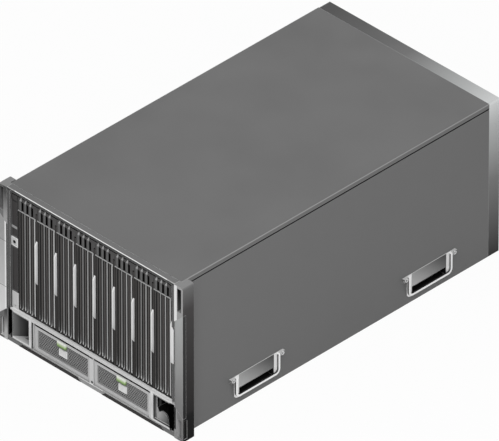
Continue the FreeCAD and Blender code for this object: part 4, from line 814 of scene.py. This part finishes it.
def supply_mesh(number):
    """The perforated front of a supply with its rim, its latch's backing, and a black sheet inside
    that stands for the shade there.
    """
    low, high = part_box(f"psu_{number}_grille")
    middle = (low + high) / 2
    bm = bmesh.new()
    honeycomb(bm, Vector((low.x + MESH_RIM, MESH_FRONT, low.z + MESH_RIM)),
              Vector((high.x - MESH_RIM, MESH_FRONT, high.z - MESH_RIM)))
    bmesh.ops.solidify(bm, geom=bm.faces[:], thickness=MESH_THICK)
    flat_ring(bm, (middle.x, MESH_FRONT, middle.z), high.x - low.x, high.z - low.z,
              MESH_RIM + MESH_LAP, MESH_THICK)
    rounded_block(bm, (middle.x - BACKING_HALF, BACKING_FRONT, PULL_LOW - BACKING_LAP),
                  (middle.x + BACKING_HALF, BACKING_REAR, high.z - MESH_LAP), PLATE_ROUND, 1)
    piece = settle(bm, f"supply_{number}_mesh", f"psu_{number}", "grille_dark")
    bm = bmesh.new()
    rounded_block(bm, (low.x + INSIDE_MARGIN, INSIDE_FRONT, low.z + INSIDE_MARGIN),
                  (high.x - INSIDE_MARGIN, INSIDE_REAR, high.z - INSIDE_MARGIN), PLATE_ROUND, 1)
    settle(bm, f"supply_{number}_inside", f"psu_{number}", "grille_dark", SHADE_BLACK)
    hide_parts(f"psu_{number}_grille")


def supply_pull(number):
    """The dished pull block under the latch."""
    low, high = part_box(f"psu_{number}_grille")
    middle = (low.x + high.x) / 2
    bm = bmesh.new()
    rounded_block(bm, (middle - PULL_HALF, PULL_FRONT, PULL_LOW),
                  (middle + PULL_HALF, PULL_REAR, PULL_TOP), PULL_ROUND, 3)
    bm.normal_update()
    front = min(bm.faces, key=lambda face: (face.calc_center_median().y, -face.calc_area()))
    sunk_face(bm, front, DISH_MARGIN, -DISH_DEEP)
    settle(bm, f"supply_{number}_pull", f"psu_{number}", "foot_light", PULL)


for number in SUPPLIES:
    supply_mesh(number)
    supply_pull(number)


# ---------------- modules

FACE_REAR = back(5.9)
SEAM_TOP, SEAM_TALL = 305.2 * MM, 2.0 * MM
SEAM_START, SEAM_END = 0.3 * MM, 4.3 * MM
SEAM_PROUD, SEAM_ROUND = 0.2 * MM, 0.5 * MM
LEG_WIDE, LEG_START, LEG_END = 2.4 * MM, 1.2 * MM, 5.2 * MM
RIDGE_OFFSETS = (11.6 * MM, 24.25 * MM, 36.9 * MM)
RIDGE_LOW, RIDGE_TOP = 88.5 * MM, 302.6 * MM
RIDGE_HALF, RIDGE_FRONT = 0.9 * MM, back(4.9)
RIDGE_LAP, RIDGE_ROUND = 0.3 * MM, 0.3 * MM
CURL_HALF, CURL_THICK = 1.0 * MM, 1.0 * MM
CURL_START, CURL_RADIUS = back(5.3), 3.6 * MM
CURL_TURN, CURL_STEPS = math.radians(-75), 5
EDGE_OFFSET, EDGE_HALF = 4.6 * MM, 0.6 * MM
EDGE_FRONT, EDGE_DROP = back(5.2), 5.0 * MM
VENT_LOW, VENT_TOP = 303.5 * MM, 327.5 * MM
VENT_START, VENT_END = 1.2 * MM, 45.0 * MM
VENT_FRONT, VENT_REAR = back(13.0), back(13.7)
BOARD_FACE, BOARD_SUNK = 4.3 * MM, 0.2 * MM
CHIPS = ((60, 120, 22, 3.0), (60, 205, 28, 3.4), (60, 270, 16, 2.4), (104, 150, 14, 2.0),
         (104, 240, 14, 2.0), (430, 130, 18, 2.6), (430, 280, 18, 2.6))
CHIP_ROUND, CAN_ROUND = 0.5 * MM, 0.6 * MM
CAN_COUNT, CAN_LOW, CAN_PITCH = 9, 106, 22
CAN_DEPTH, CAN_RADIUS, CAN_TALL = back(128), 3.6 * MM, 9.0 * MM


def module_seam(number):
    """The lip across a module under its air slots, painted pale as a highlight, with a short leg
    beside the lever.
    """
    low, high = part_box(f"module_{number}_bezel")
    front = low.y - SEAM_PROUD
    end = high.x - SEAM_END
    bm = bmesh.new()
    rounded_block(bm, (low.x + SEAM_START, front, SEAM_TOP - SEAM_TALL),
                  (end, FACE_REAR, SEAM_TOP), SEAM_ROUND)
    rounded_block(bm, (end - LEG_WIDE, front, SEAM_TOP - LEG_END),
                  (end, FACE_REAR, SEAM_TOP - LEG_START), SEAM_ROUND)
    settle(bm, f"module_{number}_seam", f"module_{number}", "grip_light", SEAM)


def curled_foot(bm, middle):
    """A tongue at the foot of a ridge that curls forward as it goes down."""
    start = Vector((middle, CURL_START, RIDGE_LOW))
    tongue = sheet(bm, start, Matrix.Identity(4), 2 * CURL_HALF, CURL_THICK)
    bmesh.ops.spin(bm, geom=[tongue], cent=start - Vector((0, CURL_RADIUS, 0)), axis=(1, 0, 0),
                   angle=CURL_TURN, steps=CURL_STEPS, use_merge=False)
    bmesh.ops.holes_fill(bm, edges=[edge for edge in bm.edges if edge.is_boundary], sides=4)


def module_ridges(number):
    """Low ridges between the fins, each ending in a curled foot, and one along the left edge."""
    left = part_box(f"module_{number}_bezel")[0].x
    bm = bmesh.new()
    for offset in RIDGE_OFFSETS:
        curled_foot(bm, left + offset)
    bmesh.ops.recalc_face_normals(bm, faces=bm.faces[:])
    for offset in RIDGE_OFFSETS:
        middle = left + offset
        rounded_block(bm, (middle - RIDGE_HALF, RIDGE_FRONT, RIDGE_LOW - RIDGE_LAP),
                      (middle + RIDGE_HALF, FACE_REAR, RIDGE_TOP), RIDGE_ROUND)
    edge = left + EDGE_OFFSET
    rounded_block(bm, (edge - EDGE_HALF, EDGE_FRONT, RIDGE_LOW - EDGE_DROP),
                  (edge + EDGE_HALF, FACE_REAR, RIDGE_TOP), PLATE_ROUND)
    settle(bm, f"module_{number}_ridges", f"module_{number}", "bezel_dark", RIDGE)


def vent_shade_sheet(number):
    """A black sheet behind a module's air slots, as far as the lever's notch, standing for the
    shade seen through them.
    """
    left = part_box(f"module_{number}_bezel")[0].x
    bm = bmesh.new()
    rounded_block(bm, (left + VENT_START, VENT_FRONT, VENT_LOW),
                  (left + VENT_END, VENT_REAR, VENT_TOP), PLATE_ROUND, 1)
    settle(bm, f"module_{number}_vent_shade_sheet", f"module_{number}", "bezel_dark", SHADE_BLACK)


def board_parts(number):
    """Chips and a row of capacitors on a module's board, round its heat sinks."""
    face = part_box(f"module_{number}_bezel")[0].x + BOARD_FACE
    bm = bmesh.new()
    for depth, height, size, rise in CHIPS:
        rounded_block(bm, (face - BOARD_SUNK, back(depth), height * MM),
                      (face + rise * MM, back(depth + size), (height + size) * MM), CHIP_ROUND, 1)
    settle(bm, f"module_{number}_chips", f"module_{number}", "port_black")
    bm = bmesh.new()
    for step in range(CAN_COUNT):
        place = (face - BOARD_SUNK, CAN_DEPTH, (CAN_LOW + CAN_PITCH * step) * MM)
        can = raised(bm, disc(bm, place, TO_RIGHT, CAN_RADIUS, 12), CAN_TALL)
        bevel_edges(bm, list(can.edges), CAN_ROUND, 1)
    settle(bm, f"module_{number}_capacitors", f"module_{number}", "cover_zinc")


for number in MODULES:
    module_seam(number)
    module_ridges(number)
    vent_shade_sheet(number)
    board_parts(number)

CHEEK_LOW, CHEEK_TOP = 165 * MM, 250 * MM
CHEEK_LAP, CHEEK_WIDE, CHEEK_ROUND = 0.4 * MM, 6.4 * MM, 0.3 * MM
CHEEK_FRONT, CHEEK_REAR = back(0.4), back(1.3)
CHEEK_SLANT_TOP = 249 * MM
CHEEK_SLANT = (0.8, 0, 0.6)


def end_cheek():
    """The white cheek of the last lever, which laps over the frame's right post."""
    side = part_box("module_8_lever")[1].x
    bm = bmesh.new()
    rounded_block(bm, (side - CHEEK_LAP, CHEEK_FRONT, CHEEK_LOW),
                  (side + CHEEK_WIDE, CHEEK_REAR, CHEEK_TOP), CHEEK_ROUND)
    cut_off(bm, (side, 0, CHEEK_SLANT_TOP), CHEEK_SLANT)
    close_up(bm)
    settle(bm, "module_8_lever_cheek", "module_8_lever", "lever_white")


end_cheek()


# ---------------- operator panel

SURROUND_WIDER, SURROUND_TALLER = 5.6 * MM, 6.0 * MM
SURROUND_MARGIN, SURROUND_THICK = 2.4 * MM, 0.9 * MM
SURROUND_FRONT = back(4.4)
MARK_RADIUS, MARK_RIM = 3.4 * MM, 0.7 * MM
MARK_SUNK, MARK_TALL, MARK_DEEP = 0.2 * MM, 0.6 * MM, 0.4 * MM


def button_surround():
    """The pale square frame round the power button, and the round mark on the button."""
    low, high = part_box("power_button")
    middle = (low + high) / 2
    bm = bmesh.new()
    flat_ring(bm, (middle.x, SURROUND_FRONT, middle.z), high.x - low.x + SURROUND_WIDER,
              high.z - low.z + SURROUND_TALLER, SURROUND_MARGIN, SURROUND_THICK)
    settle(bm, "button_surround", "chassis", "foot_light", PULL)
    bm = bmesh.new()
    plate = disc(bm, (middle.x, low.y + MARK_SUNK, middle.z), TO_FRONT, MARK_RADIUS, 20)
    top = raised(bm, plate, MARK_TALL)
    bm.normal_update()
    sunk_face(bm, top, MARK_RIM, -MARK_DEEP)
    settle(bm, "button_mark", "power_button", "port_black")


button_surround()


# ---------------- corner pockets

WALL_NEAR, WALL_FAR = 205.8 * MM, 184.0 * MM
WALL_RUN, WALL_TALL, WALL_THICK = 19.0 * MM, 59.0 * MM, 0.8 * MM
WALL_DEPTH, WALL_MIDDLE = back(11.5), 43.0 * MM
HUMP_MIDDLE, HUMP_HALF, HUMP_TALL = 181.0 * MM, 16.0 * MM, 21.0 * MM
HUMP_FRONT, HUMP_FLOOR, HUMP_THICK = back(8.0), 13.2 * MM, 3.6 * MM
SHADE_FOOT, SHADE_ROUND, SHADE_NEAR = 14.5 * MM, 0.05 * MM, 0.001 * MM
SHADE_FRONT, SHADE_REAR = back(0.04), back(0.26)
SHADES = (("left_pocket_shade", -215.2 * MM, -206.2 * MM, 9.0 * MM, 74.0 * MM),
          ("right_pocket_shade", 206.1 * MM, 218.3 * MM, 6.0 * MM, 72.0 * MM))


def pocket_wall(name, side):
    """The slanted wall inside a corner pocket, from its outer edge in to its back; the right one is
    all black, as painted shade.
    """
    near, far = WALL_NEAR * side, WALL_FAR * side
    turn = Matrix.Rotation(math.atan2(WALL_RUN, far - near), 4, "Z") @ TO_FRONT
    bm = bmesh.new()
    sheet(bm, ((near + far) / 2, WALL_DEPTH, WALL_MIDDLE), turn, math.hypot(WALL_RUN, far - near),
          WALL_TALL)
    thicken(bm, WALL_THICK)
    settle(bm, f"{name}_pocket_wall", "chassis", "pocket_light", None if side < 0 else SHADE_BLACK)


def pocket_hump():
    """The rounded hump on the floor of the right pocket, pale on the left and painted darker to the
    right as shade.
    """
    turn = TO_FRONT @ Matrix.Diagonal((HUMP_HALF, HUMP_TALL, 1.0, 1.0))
    bm = bmesh.new()
    disc(bm, (HUMP_MIDDLE, HUMP_FRONT, HUMP_FLOOR), turn, 1.0, 32)
    cut_off(bm, (0, 0, HUMP_FLOOR), (0, 0, -1))
    bm.normal_update()
    thicken(bm, HUMP_THICK)
    settle(bm, "right_pocket_hump", "chassis", "pocket_light", HUMP)


def pocket_shade(name, left, right, rise, top):
    """The black strip standing for the shade between a corner pocket and the rack ear beside it,
    with a slanted foot.
    """
    bm = bmesh.new()
    rounded_block(bm, (left, SHADE_FRONT, SHADE_FOOT), (right, SHADE_REAR, top), SHADE_ROUND, 1)
    slant = Vector((rise, 0, left - right)).normalized()
    cut_off(bm, (left, 0, SHADE_FOOT), slant, SHADE_NEAR)
    close_up(bm)
    settle(bm, name, "chassis", "pocket_light", SHADE_BLACK)


for name, side in SIDES:
    pocket_wall(name, side)
pocket_hump()
for shade in SHADES:
    pocket_shade(*shade)


# ---------------- bottom edge

STRIP_INNER, STRIP_OUTER = 27.5 * MM, 189.5 * MM
STRIP_LOW, STRIP_TOP, STRIP_ROUND = 0.2 * MM, 7.2 * MM, 0.3 * MM
STRIP_FRONT, STRIP_REAR = back(0.5), back(2.4)
STRIP_SLOPE = (7.5, 9.0)


def recess_shade_strip(name, side):
    """A dark strip that fills one of the two recesses of the bottom edge, standing for the shade in
    it, with slanted ends.
    """
    inner, outer = STRIP_INNER * side, STRIP_OUTER * side
    across, up = STRIP_SLOPE
    bm = bmesh.new()
    rounded_block(bm, (min(inner, outer), STRIP_FRONT, STRIP_LOW),
                  (max(inner, outer), STRIP_REAR, STRIP_TOP), STRIP_ROUND, 1)
    for end, away in ((inner, -side), (outer, side)):
        cut_off(bm, (end, 0, 0), (across * away, 0, up))
        close_up(bm)
    settle(bm, f"{name}_recess_shade_strip", "chassis", "port_black", RECESS_SHADE)


for name, side in SIDES:
    recess_shade_strip(name, side)


# ---------------- top cover

SEAM_SHADE_LOW, SEAM_SHADE_TOP, SEAM_SHADE_ROUND = 333.9 * MM, 335.9 * MM, 0.1 * MM
SEAM_SHADE_SUNK, SEAM_SHADE_PROUD, SEAM_SHADE_END = 0.7 * MM, 0.06 * MM, 1.0 * MM


def cover_seam_shade(name, side):
    """A black strip in the seam between the top cover and a side panel, standing for the shade in
    the gap.
    """
    low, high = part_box(f"{name}_side_panel")
    wall = high.x if side > 0 else low.x
    near, far = sorted((wall - SEAM_SHADE_SUNK * side, wall + SEAM_SHADE_PROUD * side))
    bm = bmesh.new()
    rounded_block(bm, (near, low.y + SEAM_SHADE_END, SEAM_SHADE_LOW), (far, high.y - SEAM_SHADE_END, SEAM_SHADE_TOP),
                  SEAM_SHADE_ROUND, 1)
    settle(bm, f"{name}_cover_seam_shade", "chassis", "port_black", SHADE_BLACK)


for name, side in SIDES:
    cover_seam_shade(name, side)


# ---------------- lifting handles

LUG_REACH, LUG_HEIGHT = 63.7 * MM, 60.0 * MM
EYELET_RADIUS, EYELET_TALL = 3.7 * MM, 0.6 * MM
EYELET_RIM, EYELET_SLOPE, EYELET_DEEP = 1.2 * MM, 0.3 * MM, 0.8 * MM


def lug_eyelets(name):
    """The rolled eyelets on the two lugs that carry a lifting handle."""
    low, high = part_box(name)
    middle = (low.y + high.y) / 2
    outward = 1 if low.x > 0 else -1
    turn = TO_RIGHT if outward > 0 else TO_LEFT
    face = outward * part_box("handle_sockets")[1].x
    bm = bmesh.new()
    for reach in (-LUG_REACH, LUG_REACH):
        plate = disc(bm, (face, middle + reach, LUG_HEIGHT), turn, EYELET_RADIUS, 20)
        top = sunk_face(bm, raised(bm, plate, EYELET_TALL), EYELET_RIM, 0.0)
        sunk_face(bm, top, EYELET_SLOPE, -EYELET_DEEP)
    settle(bm, f"{name}_eyelets", "chassis", "bail_steel", EYELET)


for name in HANDLES:
    lug_eyelets(name)


# ---------------- screws

SCREW_SUNK = 0.1 * MM
FAN_SCREW_OFF = 52.5 * MM
COVER_SCREW_START, COVER_SCREW_PITCH, COVER_SCREW_DROP = 9.9 * MM, 20.6 * MM, 6.0 * MM
COVER_SCREWS = 8
FRAME_SCREWS = ((-154.0 * MM, back(1.6), 14.5 * MM), (2.2 * MM, back(1.6), 15.0 * MM))


def head_row(name, places, turn, radius, height, slot):
    bm = bmesh.new()
    for place in places:
        screw_head(bm, place, turn, radius, height)
    settle(bm, name, "chassis", slot)


def fan_screw_places():
    """The four corners of each fan, on the rear panel."""
    rear_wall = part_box("rear_panel")[1].y - SCREW_SUNK
    for number in FANS:
        low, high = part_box(f"fan_rotor_{number}")
        middle = (low + high) / 2
        for across in (-FAN_SCREW_OFF, FAN_SCREW_OFF):
            for up in (-FAN_SCREW_OFF, FAN_SCREW_OFF):
                yield middle.x + across, rear_wall, middle.z + up


def cover_screw_places():
    """One near the top of each slot cover."""
    low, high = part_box("slot_covers")
    for step in range(COVER_SCREWS):
        across = low.x + COVER_SCREW_START + COVER_SCREW_PITCH * step
        yield across, high.y - SCREW_SUNK, high.z - COVER_SCREW_DROP


head_row("fan_screws", fan_screw_places(), TO_BACK, 3.4 * MM, 1.8 * MM, "cover_zinc")
head_row("cover_screws", cover_screw_places(), TO_BACK, 3.0 * MM, 1.6 * MM, "guide_metal")
head_row("frame_screws", FRAME_SCREWS, TO_FRONT, 2.6 * MM, 1.0 * MM, "runner_dark")


# ---------------- floor, light and camera

FLOOR_SIZE, FLOOR_DROP = 6.0, 0.2 * MM
FLOOR_WHITE = 0.95
SKY_LIGHT = 0.44
LAMP_AIM = Vector((0, 0, 0.17))
LENS = 1500.0
SENSOR = 36.0
SIGHT_END = 200.0
VIEW_WIDTH = 0.9209
VIEW_AIM = Vector((0.0549, -0.0640, 0.2274))
VIEW_FROM = Vector((1, -1, 1)).normalized()


def make_floor():
    """A pale floor that the camera sees as nearly white."""
    bm = bmesh.new()
    bmesh.ops.create_grid(bm, x_segments=1, y_segments=1, size=FLOOR_SIZE)
    bmesh.ops.translate(bm, verts=bm.verts[:], vec=(0, 0, -FLOOR_DROP))
    mesh = bpy.data.meshes.new("studio_floor")
    bm.to_mesh(mesh)
    bm.free()
    floor = bpy.data.objects.new("studio_floor", mesh)
    bpy.context.scene.collection.objects.link(floor)
    finish = Finish("pale_floor", specular=0.0)
    tree = finish.tree
    finish.paint(tone(232))
    finish.shader.inputs["Roughness"].default_value = 0.9
    white = place_node(tree, "ShaderNodeEmission", Color=(1, 1, 1, 1), Strength=1.0)
    seen = place_node(tree, "ShaderNodeLightPath").outputs["Is Camera Ray"]
    blend = place_node(tree, "ShaderNodeMixShader",
                       Fac=arithmetic(tree, "MULTIPLY", seen, FLOOR_WHITE))
    feed(tree, blend.inputs[1], finish.shader.outputs["BSDF"])
    feed(tree, blend.inputs[2], white.outputs["Emission"])
    feed(tree, tree.nodes["Material Output"].inputs["Surface"], blend.outputs["Shader"])
    mesh.materials.append(finish.material)


def make_sky():
    """Soft light from all round, white where it is seen or mirrored."""
    world = bpy.data.worlds.new("studio")
    bpy.context.scene.world = world
    world.use_nodes = True
    tree = world.node_tree
    path = place_node(tree, "ShaderNodeLightPath").outputs
    seen = arithmetic(tree, "MAXIMUM", path["Is Camera Ray"], path["Is Glossy Ray"])
    seen = arithmetic(tree, "MAXIMUM", seen, path["Is Transmission Ray"])
    sky = tree.nodes["Background"]
    sky.inputs["Color"].default_value = (1, 1, 1, 1)
    feed(tree, sky.inputs["Strength"], spread(tree, seen, 0.0, 1.0, SKY_LIGHT, 1.0))


def soft_lamp(name, place, size, power):
    lamp = bpy.data.lights.new(name, "AREA")
    lamp.shape = "SQUARE"
    lamp.size = size
    lamp.energy = power
    holder = bpy.data.objects.new(name, lamp)
    holder.location = place
    holder.rotation_euler = (LAMP_AIM - Vector(place)).to_track_quat("-Z", "Y").to_euler()
    bpy.context.scene.collection.objects.link(holder)


def make_camera():
    """A long lens at the photo's isometric corner."""
    lens = bpy.data.cameras.new("photo_camera")
    lens.lens = LENS
    lens.sensor_width = SENSOR
    lens.clip_end = SIGHT_END
    camera = bpy.data.objects.new("photo_camera", lens)
    camera.location = VIEW_AIM + VIEW_FROM * (VIEW_WIDTH * LENS / SENSOR)
    camera.rotation_euler = (-VIEW_FROM).to_track_quat("-Z", "Y").to_euler()
    bpy.context.scene.collection.objects.link(camera)
    bpy.context.scene.camera = camera


make_floor()
make_sky()
soft_lamp("key_lamp", (2.2, -2.2, 3.4), 2.6, 120.0)
soft_lamp("back_lamp", (-2.8, 3.2, 0.7), 2.4, 60.0)
make_camera()
bpy.context.scene.view_settings.view_transform = "Standard"
